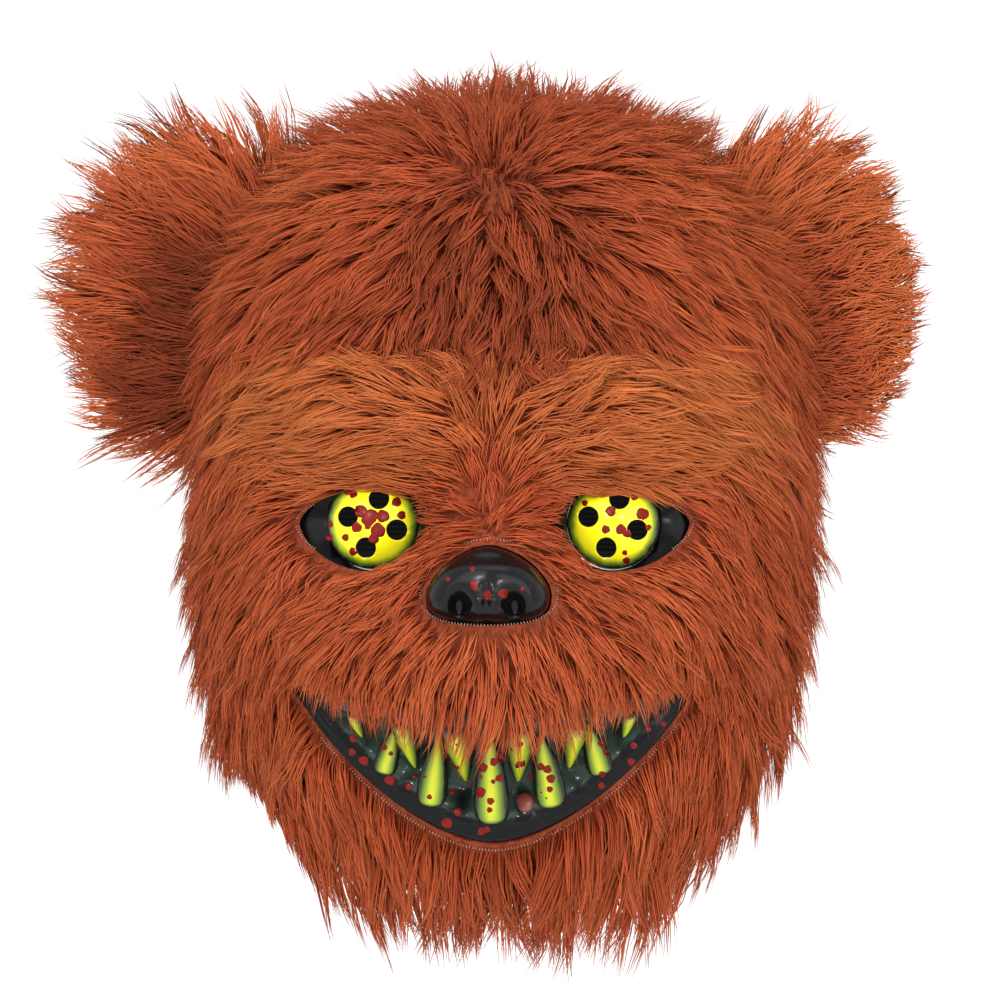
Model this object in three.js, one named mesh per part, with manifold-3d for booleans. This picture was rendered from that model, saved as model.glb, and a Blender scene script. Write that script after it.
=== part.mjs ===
// A plush bear face mask: a moulded plastic face shell covered with long-pile plush, two stuffed ears,
// perforated eye domes, a hollow nose, a grinning mouth tray with fangs, and an elastic head strap.
// Millimetres, +Z up. The face looks along -Y. The origin is the middle of the wearer's head at eye level.
// Left and right are the wearer's, so left is +X.
import * as THREE from "three";
import { mergeVertices } from "three/addons/utils/BufferGeometryUtils.js";
import Module from "manifold-3d";

const wasm = await Module();
wasm.setup();

// Fits
const SEAT_GAP = 0.3; // between pieces that touch
const SEAM_GAP = 0.5; // between two plush panels
const SHAPED_GAP = 0.6; // between a lock and the shaped pieces that it lies over
const OPENING_GAP = 1.5; // between the plush's cut edges and the nose and mouth tray

// Face shell
const SHELL_HALF_WIDTH = 112;
const SHELL_CROWN_HEIGHT = 161; // above the origin
const SHELL_CHIN_DROP = 165; // below the origin
const SHELL_FRONT_DEPTH = 102; // forehead, in front of the origin
const SHELL_ROUNDNESS = 2.5; // exponent of the rounded block that the face is raised on
const SHELL_WALL = 2;
const SIDE_WRAP = 92; // degrees from straight ahead to the shell's edge
const CROWN_WRAP = 116;
const CHIN_WRAP = 66;
const SHELL_RINGS = 9;
const SHELL_SPOKES = 28;
const RING_CROWDING = 1.12; // above 1 the rings lie closer together at the front

const HOLE_SIDES = 6; // of the small round holes

// Eye domes
const EYE_SPACING = 95; // between the centres
const EYE_HEIGHT = 0;
const EYE_RADIUS = 18.4;
const EYE_DOME_RISE = 8;
const EYE_RIM_RISE = 8; // from the shell at the eye's middle to the dome's rim
const EYE_SKIRT = 21; // length of the tube that passes through the shell
const EYE_WALL = 1.6;
const EYE_HOLE_RADIUS = 4.1;
const EYE_HOLE_RING = 10; // from the eye's middle to each hole
const EYE_HOLE_COUNT = 4;
const EYE_HOLE_TURN = 15; // degrees
const EYE_SIDES = 16;
const EYE_OPENING = { outer: 29, inner: 25, top: 15, bottom: 19 }; // in the plush, from the eye's middle
const EYE_OPENING_POINT = 0.25; // above 0 the opening narrows towards its corners

// Nose
const NOSE_HEIGHT = -28;
const NOSE = { halfWidth: 24, up: 19, down: 11, front: 17, back: 10, roundness: 2.6 };
const NOSE_WALL = 2;
const NOSTRIL_OFFSET = 11;
const NOSTRIL_DROP = 3;
const NOSTRIL_RADIUS = 3.4;
const NOSE_LEDGE = 4; // how far the shell reaches in under the nose's rim
const NOSE_GRID = { rows: 7, columns: 12 };
const PILLOW_FULLNESS = 0.75; // below 1 the nose and ears swell towards their rims

// Mouth
const MOUTH_HALF_WIDTH = 80;
const MOUTH_CORNER_HEIGHT = -64;
const LOWER_LIP_DROP = 61; // at the middle, below the corners
const UPPER_LIP_DROP = 8;
const LIP_BULGE = 1.8; // exponent of the grin's curve
const TRAY_END = 0.965; // share of the half width where the tray's pointed ends stop
const TRAY_WALL = 1.6;
const LIP_BEAD_WIDTH = 9;
const LIP_BEAD_RISE = 3.5;
const TRAY_RECESS = 11;
const TRAY_SLOPE = 7; // width of the band that leads down into the recess
const TRAY_FLANGE = 4.5; // how far the tray laps over the shell
const TRAY_SEAT = 0.8; // between the flange and the shell's smooth form, more than its facets stray from it
const TRAY_COLUMNS = 14;
const TRAY_ROWS = 6;
const TRAY_CROWDING = 0.2; // below 1 the rows lie closer together at the lower lip
const BREATHING_HOLE_RADIUS = 2;
const BREATHING_HOLES = [-0.11, 0.13]; // x as a share of the mouth's half width

// Fangs. x is a share of the mouth's half width, width of the widest fang's, and length of the mouth's
// height there.
const FANG_WIDTH = 14.5;
const FANG_FLATNESS = 0.75;
const FANG_SIDES = 6;
const FANG_STAND_OFF = 1; // from the tray's face to the fang's middle line
const FANGS = [
  { name: "fang_lower_1", row: "lower", x: -0.52, width: 0.66, length: 0.62 },
  { name: "fang_lower_2", row: "lower", x: -0.29, width: 0.86, length: 0.64 },
  { name: "fang_lower_3", row: "lower", x: 0, width: 1, length: 0.72 },
  { name: "fang_lower_4", row: "lower", x: 0.28, width: 0.9, length: 0.66 },
  { name: "fang_lower_5", row: "lower", x: 0.52, width: 0.74, length: 0.66 },
  { name: "fang_upper_1", row: "upper", x: -0.65, width: 0.5, length: 0.8 },
  { name: "fang_upper_2", row: "upper", x: -0.405, width: 0.72, length: 0.84 },
  { name: "fang_upper_3", row: "upper", x: -0.15, width: 0.85, length: 0.8 },
  { name: "fang_upper_4", row: "upper", x: 0.145, width: 0.85, length: 0.8 },
  { name: "fang_upper_5", row: "upper", x: 0.4, width: 0.72, length: 0.84 },
  { name: "fang_upper_6", row: "upper", x: 0.65, width: 0.5, length: 0.8 },
];
// A fang's outline from root to point: radius and height as shares of its own.
const FANG_OUTLINE = [
  { wide: 0.72, high: 0.04 },
  { wide: 1, high: 0.2 },
  { wide: 0.78, high: 0.52 },
  { wide: 0.34, high: 0.87 },
];

// Plush
const PILE = 12; // thickness of the backing with the pile that lies on it
const LOCK_WIDTH = 17;
const LOCK_THICKNESS = 6;
const LOCK_ROOT = 5; // how deep a lock starts in the pile
const LOCK_LIFT = 4; // how far a lock's tip stands above the pile
const LOCK_LENGTH = 38;
const LOCK_PITCH = 45;
const LOCK_ROW_SPREAD = 1.15; // pitch from row to row, to the pitch along a row
const LOCK_ROW_START = 0.3; // how far the first row is moved in, as a share of a row
const LOCK_ROOT_SHARE = 0.8; // a lock's size at its root, to its size at the bend
const LOCK_BEND = 0.4; // where a lock bends, as a share of its length
const SHORTEST_LOCK = 0.4; // of a lock that is combed straight out, as a share of a lying one's length
const COMB_BLEND = 0.01; // larger blends the guides further into each other
const CROWN_SEAM_HEIGHT = 150;
const CROWN_SEAM_FRONT = 45; // in front of the origin at the crown
const EAR_SEAM_FRONT = 25; // in front of the origin beside the ears
const EAR_SEAM_FOOT = 60; // height where the crown panel ends behind the ears
// The brow panels' edges. x is a share of the shell's half width. top and bottom are heights above the
// eyes, as shares of the crown's height.
const BROW_EDGES = [
  { x: 0, top: 0.345, bottom: 0.14 },
  { x: 0.13, top: 0.375, bottom: 0.09 },
  { x: 0.34, top: 0.43, bottom: 0.075 },
  { x: 0.55, top: 0.45, bottom: 0.085 },
  { x: 0.73, top: 0.43, bottom: 0.165 },
  { x: 0.88, top: 0.36, bottom: 0.27 },
  { x: 0.98, top: 0.315, bottom: 0.31 },
];
// The way the pile lies, seen from the front: places as above, and the direction from root to tip.
const COMB = [
  { x: 0, z: 1.1, toX: 0, toZ: 1 },
  { x: 0.5, z: 1.0, toX: 0.5, toZ: 1 },
  { x: 0, z: 0.84, toX: 0, toZ: -1 },
  { x: 0.45, z: 0.8, toX: 0.9, toZ: -0.35 },
  { x: 0.3, z: 0.6, toX: 0.45, toZ: -0.9 },
  { x: 0.8, z: 0.6, toX: 0.5, toZ: -0.8 },
  { x: 0, z: 0.5, toX: 0, toZ: -1 },
  { x: 0.15, z: 0.27, toX: 0.9, toZ: 0.4 },
  { x: 0.5, z: 0.3, toX: 1, toZ: -0.05 },
  { x: 0.85, z: 0.3, toX: 0.7, toZ: -0.7 },
  { x: 0.1, z: -0.02, toX: 0.7, toZ: -0.6 },
  { x: 0.5, z: -0.25, toX: 0.6, toZ: -0.75 },
  { x: 1, z: -0.1, toX: 0.35, toZ: -0.95 },
  { x: 0, z: -0.35, toX: 0, toZ: -1 },
  { x: 0.9, z: -0.6, toX: 0.05, toZ: -1 },
  { x: 0, z: -1, toX: 0, toZ: -1 },
];
const CHIN_LOCKS = 9;
const CHIN_LOCK_LENGTH = 52;
const CHIN_LOCK_SPAN = 80; // half width of the beard
const LIP_LOCKS = 7;
const LIP_LOCK_LENGTH = 26;
const LIP_LOCK_SPAN = 60; // half width of the fringe over the upper fangs
const LIP_LOCK_FOOT = 8.4; // above the upper lip
const BEARD_FOOT = 0.93; // where the beard starts, as a share of the way down to the shell's edge
const BEARD_SPREAD = 2.2; // how much wider the beard's feet stand than its middle lock's way
const FRINGE_SHORT = 0.8; // every second lock's length, to its neighbours'
const FRINGE_TAPER = 0.25; // how much shorter the outermost locks are, as a share

// Ears
const EAR = { halfWidth: 47, up: 63, down: 63, front: 20, back: 16, roundness: 2.3 };
const EAR_STAND_OFF = 12; // from the shell's widest side to the ear's middle
const EAR_HEIGHT = 92;
const EAR_BACK = 4; // behind the origin
const EAR_LEAN = 15; // degrees, tops towards the crown
const EAR_SWEEP = 12; // degrees, outer edges backwards
const EAR_DISH = 13; // how far the front is hollowed
const EAR_GRID = { rows: 6, columns: 12 };
const EAR_LOCKS = 8; // in each row round the rim
// The rows' places in the ear's depth, as shares of its front, and their shifts along the rim in locks.
const EAR_LOCK_ROWS = [{ depth: -0.4, shift: 0 }, { depth: 0.3, shift: 0.5 }];
const EAR_LOCK_ROOT = 0.8; // as a share of the way from the ear's middle to its rim
const EAR_LOCK_SPLAY = 0.25; // above 0 the locks lean outwards
const EAR_LOCK_SHORT = 0.85; // every second lock's length, to its neighbours'
const EAR_LOCK_SPAN = 235; // degrees of the rim that they stand on
const EAR_LOCK_LENGTH = 22;
const EAR_LOCK_WIDTH = 19;
const EAR_LOCK_THICKNESS = 9;

// Head strap
const STRAP_WIDTH = 30;
const STRAP_THICKNESS = 1.4;
const STRAP_HEIGHT = EYE_HEIGHT; // level with the eyes
const STRAP_BACK = 104; // behind the origin
const STRAP_LAP = 18; // how far each end runs forward inside the shell
const STRAP_STEPS = 12;
const STRAP_CURVE = 2.3; // exponent of the loop's plan
const RIVET_RADIUS = 1.6;
const RIVET_HEAD_RADIUS = 4.2;
const RIVET_HEAD_THICKNESS = 1;
const RIVET_SETBACK = 9; // from the strap's end
const RIVET_SIDES = 8;

const FINISHES = {
  plush: { color: 0x9a431f, roughness: 0.95 },
  brow: { color: 0xac5628, roughness: 0.95 },
  shell: { color: 0x17171a, roughness: 0.25 },
  eye: { color: 0xf2e21c, roughness: 0.2 },
  fang: { color: 0xc3cb2b, roughness: 0.25 },
  strap: { color: 0x1b1b1d, roughness: 0.9 },
  rivet: { color: 0xb9b9bd, roughness: 0.35, metalness: 1 },
};

// Raised and sunk forms of the face. x and z place each one, and the spreads are shares of the shell's half
// width and crown height.
const FACE_FORMS = [
  {
    form: "muzzle",
    rise: 44,
    x: 0,
    z: NOSE_HEIGHT - 1.5 * NOSE.up,
    spreadX: 0.47,
    spreadZ: 0.3,
    steepness: 1.3,
  },
  {
    form: "bridge",
    rise: 12,
    x: 0,
    z: NOSE_HEIGHT + 1.3 * NOSE.up,
    spreadX: 0.15,
    spreadZ: 0.15,
    steepness: 1,
  },
  {
    form: "brow",
    rise: 11,
    x: EYE_SPACING / 2,
    z: EYE_HEIGHT + 2.4 * EYE_RADIUS,
    spreadX: 0.31,
    spreadZ: 0.11,
    steepness: 1,
  },
  {
    form: "socket",
    rise: -14,
    x: EYE_SPACING / 2,
    z: EYE_HEIGHT,
    spreadX: 0.22,
    spreadZ: 0.12,
    steepness: 1,
  },
  {
    form: "cheek",
    rise: 8,
    x: 0.88 * MOUTH_HALF_WIDTH,
    z: 0.73 * MOUTH_CORNER_HEIGHT,
    spreadX: 0.27,
    spreadZ: 0.2,
    steepness: 1,
  },
  {
    form: "chin",
    rise: 12,
    x: 0,
    z: MOUTH_CORNER_HEIGHT - LOWER_LIP_DROP,
    spreadX: 0.36,
    spreadZ: 0.13,
    steepness: 1,
  },
];

const FAR = 600; // longer than the mask, for cutting blocks
const MERGE_DISTANCE = 1e-3;
const radians = THREE.MathUtils.degToRad;
const mask = new THREE.Group();

// Helpers between three.js geometries and solids

function solidOf(geometry) {
  const bare = new THREE.BufferGeometry();
  bare.setAttribute("position", geometry.getAttribute("position"));
  bare.setIndex(geometry.index);
  const merged = mergeVertices(bare, MERGE_DISTANCE);
  const index = merged.index.array;
  const triangles = [];
  for (let i = 0; i < index.length; i += 3) {
    const [a, b, c] = index.slice(i, i + 3);
    if (a !== b && b !== c && c !== a) triangles.push(a, b, c);
  }
  return facingOut(merged.getAttribute("position").array, triangles);
}

// A solid whose faces are turned round if they pointed inwards.
function facingOut(vertProperties, triangles) {
  const build = (list) => {
    const mesh = new wasm.Mesh({ numProp: 3, vertProperties, triVerts: new Uint32Array(list) });
    return new wasm.Manifold(mesh);
  };
  const solid = build(triangles);
  return solid.volume() > 0 ? solid : build([...triangles].reverse());
}

function geometryOf(solid) {
  const mesh = solid.getMesh();
  const geometry = new THREE.BufferGeometry();
  geometry.setAttribute("position", new THREE.BufferAttribute(mesh.vertProperties, 3));
  geometry.setIndex(new THREE.BufferAttribute(mesh.triVerts, 1));
  const flat = geometry.toNonIndexed();
  flat.computeVertexNormals();
  return flat;
}

// The solid moved, turned or mirrored by a matrix.
const moved = (solid, matrix) => solidOf(geometryOf(solid).applyMatrix4(matrix));
const shiftBy = (x, y, z) => new THREE.Matrix4().makeTranslation(x, y, z);
const mirrored = (solid) => moved(solid, new THREE.Matrix4().makeScale(-1, 1, 1));

// Only the largest body, without the slivers that a cut can leave.
function mainBody(solid) {
  return solid.decompose().reduce((best, body) => (body.volume() > best.volume() ? body : best));
}

function addPiece(name, solid, finish) {
  const piece = new THREE.Mesh(geometryOf(solid), new THREE.MeshStandardMaterial(FINISHES[finish]));
  piece.name = name;
  mask.add(piece);
  return piece;
}

// A closed body from rings of points. The first and last ring close to their middle point. From the ring
// number turnedFrom on, each four-cornered face is split along its other diagonal.
function bodyOfRings(rings, turnedFrom = Infinity) {
  const sides = rings[0].length;
  const corners = rings.flat();
  const triangles = [];
  const corner = (ring, side) => ring * sides + (side % sides);
  for (let ring = 0; ring + 1 < rings.length; ring++) {
    for (let side = 0; side < sides; side++) {
      const [a, b] = [corner(ring, side), corner(ring + 1, side)];
      const [c, d] = [corner(ring + 1, side + 1), corner(ring, side + 1)];
      if (ring < turnedFrom) triangles.push(a, b, c, a, c, d);
      else triangles.push(a, b, d, b, c, d);
    }
  }
  for (const [ring, first, second] of [[0, 0, 1], [rings.length - 1, 1, 0]]) {
    const middle = rings[ring].reduce((sum, p) => sum.add(p), new THREE.Vector3()).divideScalar(sides);
    corners.push(middle);
    for (let side = 0; side < sides; side++) {
      triangles.push(corners.length - 1, corner(ring, side + first), corner(ring, side + second));
    }
  }
  const geometry = new THREE.BufferGeometry().setFromPoints(corners);
  geometry.setIndex(triangles);
  return solidOf(geometry);
}

// A block whose outline of [x, z] runs along the whole of Y.
function blockAlongY(outline) {
  const shape = new THREE.Shape(outline.map(([x, z]) => new THREE.Vector2(x, z)));
  const block = new THREE.ExtrudeGeometry(shape, { depth: 2 * FAR, bevelEnabled: false });
  return solidOf(block.translate(0, 0, -FAR).rotateX(Math.PI / 2));
}

// A block whose outline of [y, z] runs along the whole of X.
function blockAlongX(outline) {
  const shape = new THREE.Shape(outline.map(([y, z]) => new THREE.Vector2(y, z)));
  const block = new THREE.ExtrudeGeometry(shape, { depth: 2 * FAR, bevelEnabled: false });
  return solidOf(block.translate(0, 0, -FAR).rotateY(Math.PI / 2).rotateX(Math.PI / 2));
}

function rodAlongY(radius, x, z, sides) {
  return solidOf(new THREE.CylinderGeometry(radius, radius, 2 * FAR, sides).translate(x, 0, z));
}

function rodAlongX(radius, fromX, toX, y, z) {
  const rod = new THREE.CylinderGeometry(radius, radius, toX - fromX, RIVET_SIDES);
  return solidOf(rod.rotateZ(Math.PI / 2).translate((fromX + toX) / 2, y, z));
}

// Everything in front of the origin.
const frontHalf = () => blockAlongX([[-FAR, -FAR], [0, -FAR], [0, FAR], [-FAR, FAR]]);

// The face's form

function relief(x, z) {
  let rise = 0;
  for (const form of FACE_FORMS) {
    const acrossX = (Math.abs(x) - form.x) / (form.spreadX * SHELL_HALF_WIDTH);
    const alongZ = (z - form.z) / (form.spreadZ * SHELL_CROWN_HEIGHT);
    rise += form.rise * Math.exp(-Math.pow(acrossX ** 2 + alongZ ** 2, form.steepness));
  }
  return rise;
}

// 1 on the rounded block under the face, more outside it.
function blockLevel(x, y, z) {
  const height = z > 0 ? SHELL_CROWN_HEIGHT : SHELL_CHIN_DROP;
  const part = (length, size) => Math.pow(Math.abs(length) / size, SHELL_ROUNDNESS);
  return part(x, SHELL_HALF_WIDTH) + part(y, SHELL_FRONT_DEPTH) + part(z, height);
}

function faceNormal({ x, y, z }) {
  const level = (px, py, pz) => blockLevel(px, py + relief(px, pz), pz);
  const step = 0.05;
  return new THREE.Vector3(
    level(x + step, y, z) - level(x - step, y, z),
    level(x, y + step, z) - level(x, y - step, z),
    level(x, y, z + step) - level(x, y, z - step),
  ).normalize();
}

// A point on the shell's outer surface, moved out by offset. tilt is the angle from straight ahead.
function facePoint(tilt, bearing, offset = 0) {
  const way = new THREE.Vector3(
    Math.sin(tilt) * Math.cos(bearing),
    -Math.cos(tilt),
    Math.sin(tilt) * Math.sin(bearing),
  );
  const point = way.multiplyScalar(Math.pow(blockLevel(way.x, way.y, way.z), -1 / SHELL_ROUNDNESS));
  point.y -= relief(point.x, point.z);
  return point.addScaledVector(faceNormal(point), offset);
}

// The point of the shell's front at (x, z), moved out by offset.
function frontPoint(x, z, offset = 0) {
  const rest = Math.max(1 - blockLevel(x, 0, z), 0);
  const point = new THREE.Vector3(x, -SHELL_FRONT_DEPTH * Math.pow(rest, 1 / SHELL_ROUNDNESS), z);
  point.y -= relief(x, z);
  return point.addScaledVector(faceNormal(point), offset);
}

// How far the shell's side stands from the mid-plane at (y, z), behind the raised forms.
function sideReach(y, z) {
  return SHELL_HALF_WIDTH * Math.pow(1 - blockLevel(0, y, z), 1 / SHELL_ROUNDNESS);
}

function edgeTilt(bearing) {
  const height = Math.sin(bearing);
  const wrap = height > 0 ? CROWN_WRAP : CHIN_WRAP;
  return radians(SIDE_WRAP + (wrap - SIDE_WRAP) * height ** 2);
}

// Rings of points over the whole face, from its middle to the shell's edge.
function faceRings(offset) {
  const rings = [];
  for (let ring = 1; ring <= SHELL_RINGS; ring++) {
    const share = Math.pow(ring / SHELL_RINGS, RING_CROWDING);
    const points = [];
    for (let spoke = 0; spoke < SHELL_SPOKES; spoke++) {
      const bearing = (2 * Math.PI * spoke) / SHELL_SPOKES;
      points.push(facePoint(edgeTilt(bearing) * share, bearing, offset));
    }
    rings.push(points);
  }
  return rings;
}

// The face's volume out to offset, closed by a flat fan across the shell's edge.
const filledFace = (offset) => bodyOfRings(faceRings(offset));

// A wall over the whole face, open at the back. Both sides are split alike, so walls nest without touching.
function faceWall(inner, outer) {
  return bodyOfRings([...faceRings(outer), ...faceRings(inner).reverse()], SHELL_RINGS);
}

// Outlines of [x, z]

const bend = (value, exponent) => Math.sign(value) * Math.pow(Math.abs(value), 2 / exponent);

function pillowOutline({ halfWidth, up, down, roundness }, grow, z, steps) {
  const outline = [];
  for (let step = 0; step < steps; step++) {
    const turn = (2 * Math.PI * step) / steps;
    const height = Math.sin(turn) > 0 ? up : down;
    outline.push([
      (halfWidth + grow) * bend(Math.cos(turn), roundness),
      z + (height + grow) * bend(Math.sin(turn), roundness),
    ]);
  }
  return outline;
}

const lowerLip = (x) =>
  MOUTH_CORNER_HEIGHT - LOWER_LIP_DROP * (1 - Math.pow(Math.abs(x) / MOUTH_HALF_WIDTH, LIP_BULGE));
const upperLip = (x) => MOUTH_CORNER_HEIGHT - UPPER_LIP_DROP * (1 - (x / MOUTH_HALF_WIDTH) ** 2);

// The grin's outline, moved in by inset, without its pointed ends.
function mouthOutline(inset) {
  const reach = MOUTH_HALF_WIDTH * TRAY_END - 2 * inset;
  const lower = [];
  const upper = [];
  for (let step = 0; step <= TRAY_COLUMNS; step++) {
    const x = reach * ((2 * step) / TRAY_COLUMNS - 1);
    const [low, high] = [lowerLip(x) + inset, upperLip(x) - inset];
    if (high - low > SEAT_GAP) {
      lower.push([x, low]);
      upper.unshift([x, high]);
    }
  }
  return [...lower, ...upper];
}

// The plush's opening round an eye: an almond, longer towards its outer corner.
function eyeOutline(side) {
  const { outer, inner, top, bottom } = EYE_OPENING;
  const outline = [];
  for (let step = 0; step < EYE_SIDES; step++) {
    const turn = (side * 2 * Math.PI * step) / EYE_SIDES;
    const across = Math.cos(turn) > 0 ? outer : inner;
    const height = Math.sin(turn) > 0 ? top : bottom;
    const narrowing = Math.abs(Math.sin(turn)) ** EYE_OPENING_POINT;
    outline.push([
      side * (EYE_SPACING / 2 + across * Math.cos(turn)),
      EYE_HEIGHT + height * Math.sin(turn) * narrowing,
    ]);
  }
  return outline;
}

// A closed pillow with the outline above. dish hollows its front.
function pillow(size, grow, dish, { rows, columns }) {
  const rings = [];
  for (let row = 1; row < rows; row++) {
    const along = (Math.PI * row) / rows;
    const spread = Math.pow(Math.sin(along), PILLOW_FULLNESS);
    const depth = Math.cos(along) > 0 ? -(size.front + grow) : size.back + grow;
    const hollow = Math.cos(along) > 0 ? dish * (1 - spread ** 2) : 0;
    const y = depth * Math.abs(Math.cos(along)) + hollow;
    const outline = pillowOutline(size, grow, 0, columns);
    rings.push(outline.map(([x, z]) => new THREE.Vector3(x * spread, y, z * spread)));
  }
  return bodyOfRings(rings);
}

// Plush locks

function combAt(x, z) {
  const comb = new THREE.Vector3();
  for (const guide of COMB) {
    const awayX = Math.abs(x) / SHELL_HALF_WIDTH - guide.x;
    const awayZ = (z - guide.z * SHELL_CROWN_HEIGHT) / SHELL_HALF_WIDTH;
    const weight = 1 / (awayX ** 2 + awayZ ** 2 + COMB_BLEND) ** 2;
    comb.addScaledVector(new THREE.Vector3(guide.toX, 0, guide.toZ), weight);
  }
  comb.x *= Math.sign(x) || 1;
  return comb.normalize();
}

// A tapered lock of pile: three-sided with its ridge outwards, bent at its middle, ending in a point.
function lock(root, middle, tip, ridge, width, thickness) {
  const ring = (centre, towards, share) => {
    const along = towards.clone().sub(centre).normalize();
    const across = new THREE.Vector3().crossVectors(along, ridge).normalize();
    const up = new THREE.Vector3().crossVectors(across, along).multiplyScalar(share * thickness);
    across.multiplyScalar((share * width) / 2);
    return [centre.clone().add(across), centre.clone().add(up), centre.clone().sub(across)];
  };
  return bodyOfRings([ring(root, middle, LOCK_ROOT_SHARE), ring(middle, tip, 1), [tip, tip, tip]]);
}

// A lock that starts in the pile over a point of the shell and lies the way the pile is combed.
function pileLock(foot, length) {
  const normal = faceNormal(foot);
  const comb = combAt(foot.x, foot.z);
  const along = comb.addScaledVector(normal, -comb.dot(normal));
  const lying = Math.min(1, 2 * along.length());
  const reach = length * (SHORTEST_LOCK + (1 - SHORTEST_LOCK) * lying);
  along.normalize();
  const root = foot.clone().addScaledVector(normal, PILE - LOCK_ROOT);
  const middle = root.clone().addScaledVector(along, reach * LOCK_BEND);
  middle.addScaledVector(normal, LOCK_ROOT * LOCK_ROOT_SHARE);
  const tip = root.clone().addScaledVector(along, reach).addScaledVector(normal, LOCK_ROOT + LOCK_LIFT);
  return lock(root, middle, tip, normal, LOCK_WIDTH, LOCK_THICKNESS);
}

// Locks over the whole face at an even pitch, staggered from ring to ring, clear of the ears and openings.
function faceLocks() {
  const locks = [];
  const rows = Math.round((SHELL_CROWN_HEIGHT + SHELL_CHIN_DROP) / (LOCK_PITCH * LOCK_ROW_SPREAD));
  const probes = 36;
  for (let row = 1; row <= rows; row++) {
    const ring = (share) => {
      const bearing = 2 * Math.PI * share;
      return facePoint((edgeTilt(bearing) * (row - LOCK_ROW_START)) / rows, bearing);
    };
    let girth = 0;
    for (let probe = 0; probe < probes; probe++) {
      girth += ring(probe / probes).distanceTo(ring((probe + 1) / probes));
    }
    const count = Math.round(girth / LOCK_PITCH);
    for (let place = 0; place < count; place++) {
      const foot = ring((place + (row % 2) / 2) / count);
      if (!nearEar(foot) && !onOpening(foot)) locks.push(pileLock(foot, LOCK_LENGTH));
    }
  }
  return locks;
}

function nearEar({ x, y, z }) {
  const acrossX = (Math.abs(x) - SHELL_HALF_WIDTH - EAR_STAND_OFF) / (EAR.halfWidth + LOCK_WIDTH);
  const alongZ = (z - EAR_HEIGHT) / (EAR.up + LOCK_WIDTH);
  return acrossX ** 2 + alongZ ** 2 < 1 && y > EAR_BACK - EAR.front - 1.5 * LOCK_LENGTH;
}

// Whether a lock from here would stand in an eye, in the nose or in the mouth.
function onOpening({ x, y, z }) {
  const eyeX = (Math.abs(x) - EYE_SPACING / 2) / (EYE_OPENING.outer + LOCK_WIDTH);
  const eyeZ = (z - EYE_HEIGHT) / (EYE_OPENING.bottom + LOCK_WIDTH);
  const noseX = x / (NOSE.halfWidth + LOCK_WIDTH);
  const noseZ = (z - NOSE_HEIGHT) / (NOSE.up + LOCK_WIDTH);
  const aboveMouth = z < upperLip(x) + LOCK_LENGTH;
  const inMouth = Math.abs(x) < MOUTH_HALF_WIDTH && z > lowerLip(x) - LOCK_WIDTH / 2 && aboveMouth;
  return y < 0 && (eyeX ** 2 + eyeZ ** 2 < 1 || noseX ** 2 + noseZ ** 2 < 1 || inMouth);
}

// A row of locks from side to side, long and short in turn.
function fringe(count, span, length, footAt) {
  const locks = [];
  for (let place = 0; place < count; place++) {
    const across = (2 * place) / (count - 1) - 1;
    const share = (place % 2 ? FRINGE_SHORT : 1) * (1 - FRINGE_TAPER * across ** 2);
    locks.push(pileLock(footAt(span * across), length * share));
  }
  return locks;
}

// The fringe that hangs over the upper fangs.
function lipLocks() {
  const footAt = (x) => frontPoint(x, upperLip(x) + LIP_LOCK_FOOT);
  return fringe(LIP_LOCKS, LIP_LOCK_SPAN, LIP_LOCK_LENGTH, footAt);
}

// The beard along the shell's lower edge.
function chinLocks() {
  const footAt = (x) => {
    const bearing = Math.atan2(-SHELL_CHIN_DROP, BEARD_SPREAD * x);
    return facePoint(edgeTilt(bearing) * BEARD_FOOT, bearing);
  };
  return fringe(CHIN_LOCKS, CHIN_LOCK_SPAN, CHIN_LOCK_LENGTH, footAt);
}

// Plush panels

// The edge between two panels as a block above or below it. edge lists [x, z] from the mid-plane outwards.
function blockBeyond(edge, above) {
  const shift = above ? SEAM_GAP / 2 : -SEAM_GAP / 2;
  const half = [...edge, [FAR, edge[edge.length - 1][1]]];
  const right = half.map(([x, z]) => [x, z + shift]);
  const left = right.slice(1).reverse().map(([x, z]) => [-x, z]);
  const end = above ? FAR : -FAR;
  return blockAlongY([...left, ...right, [FAR, end], [-FAR, end]]);
}

// Everything behind the crown's seam, which runs over the crown and down behind the ears.
function blockBehindSeam(shift) {
  return blockAlongX([
    [-FAR, CROWN_SEAM_HEIGHT + shift],
    [-CROWN_SEAM_FRONT + shift, CROWN_SEAM_HEIGHT + shift],
    [-EAR_SEAM_FRONT + shift, EAR_HEIGHT],
    [-EAR_SEAM_FRONT + shift, EAR_SEAM_FOOT + shift],
    [FAR, EAR_SEAM_FOOT + shift],
    [FAR, FAR],
    [-FAR, FAR],
  ]);
}

function sideBlock(side) {
  const inner = (side * SEAM_GAP) / 2;
  return blockAlongY([[inner, -FAR], [side * FAR, -FAR], [side * FAR, FAR], [inner, FAR]]);
}

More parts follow.
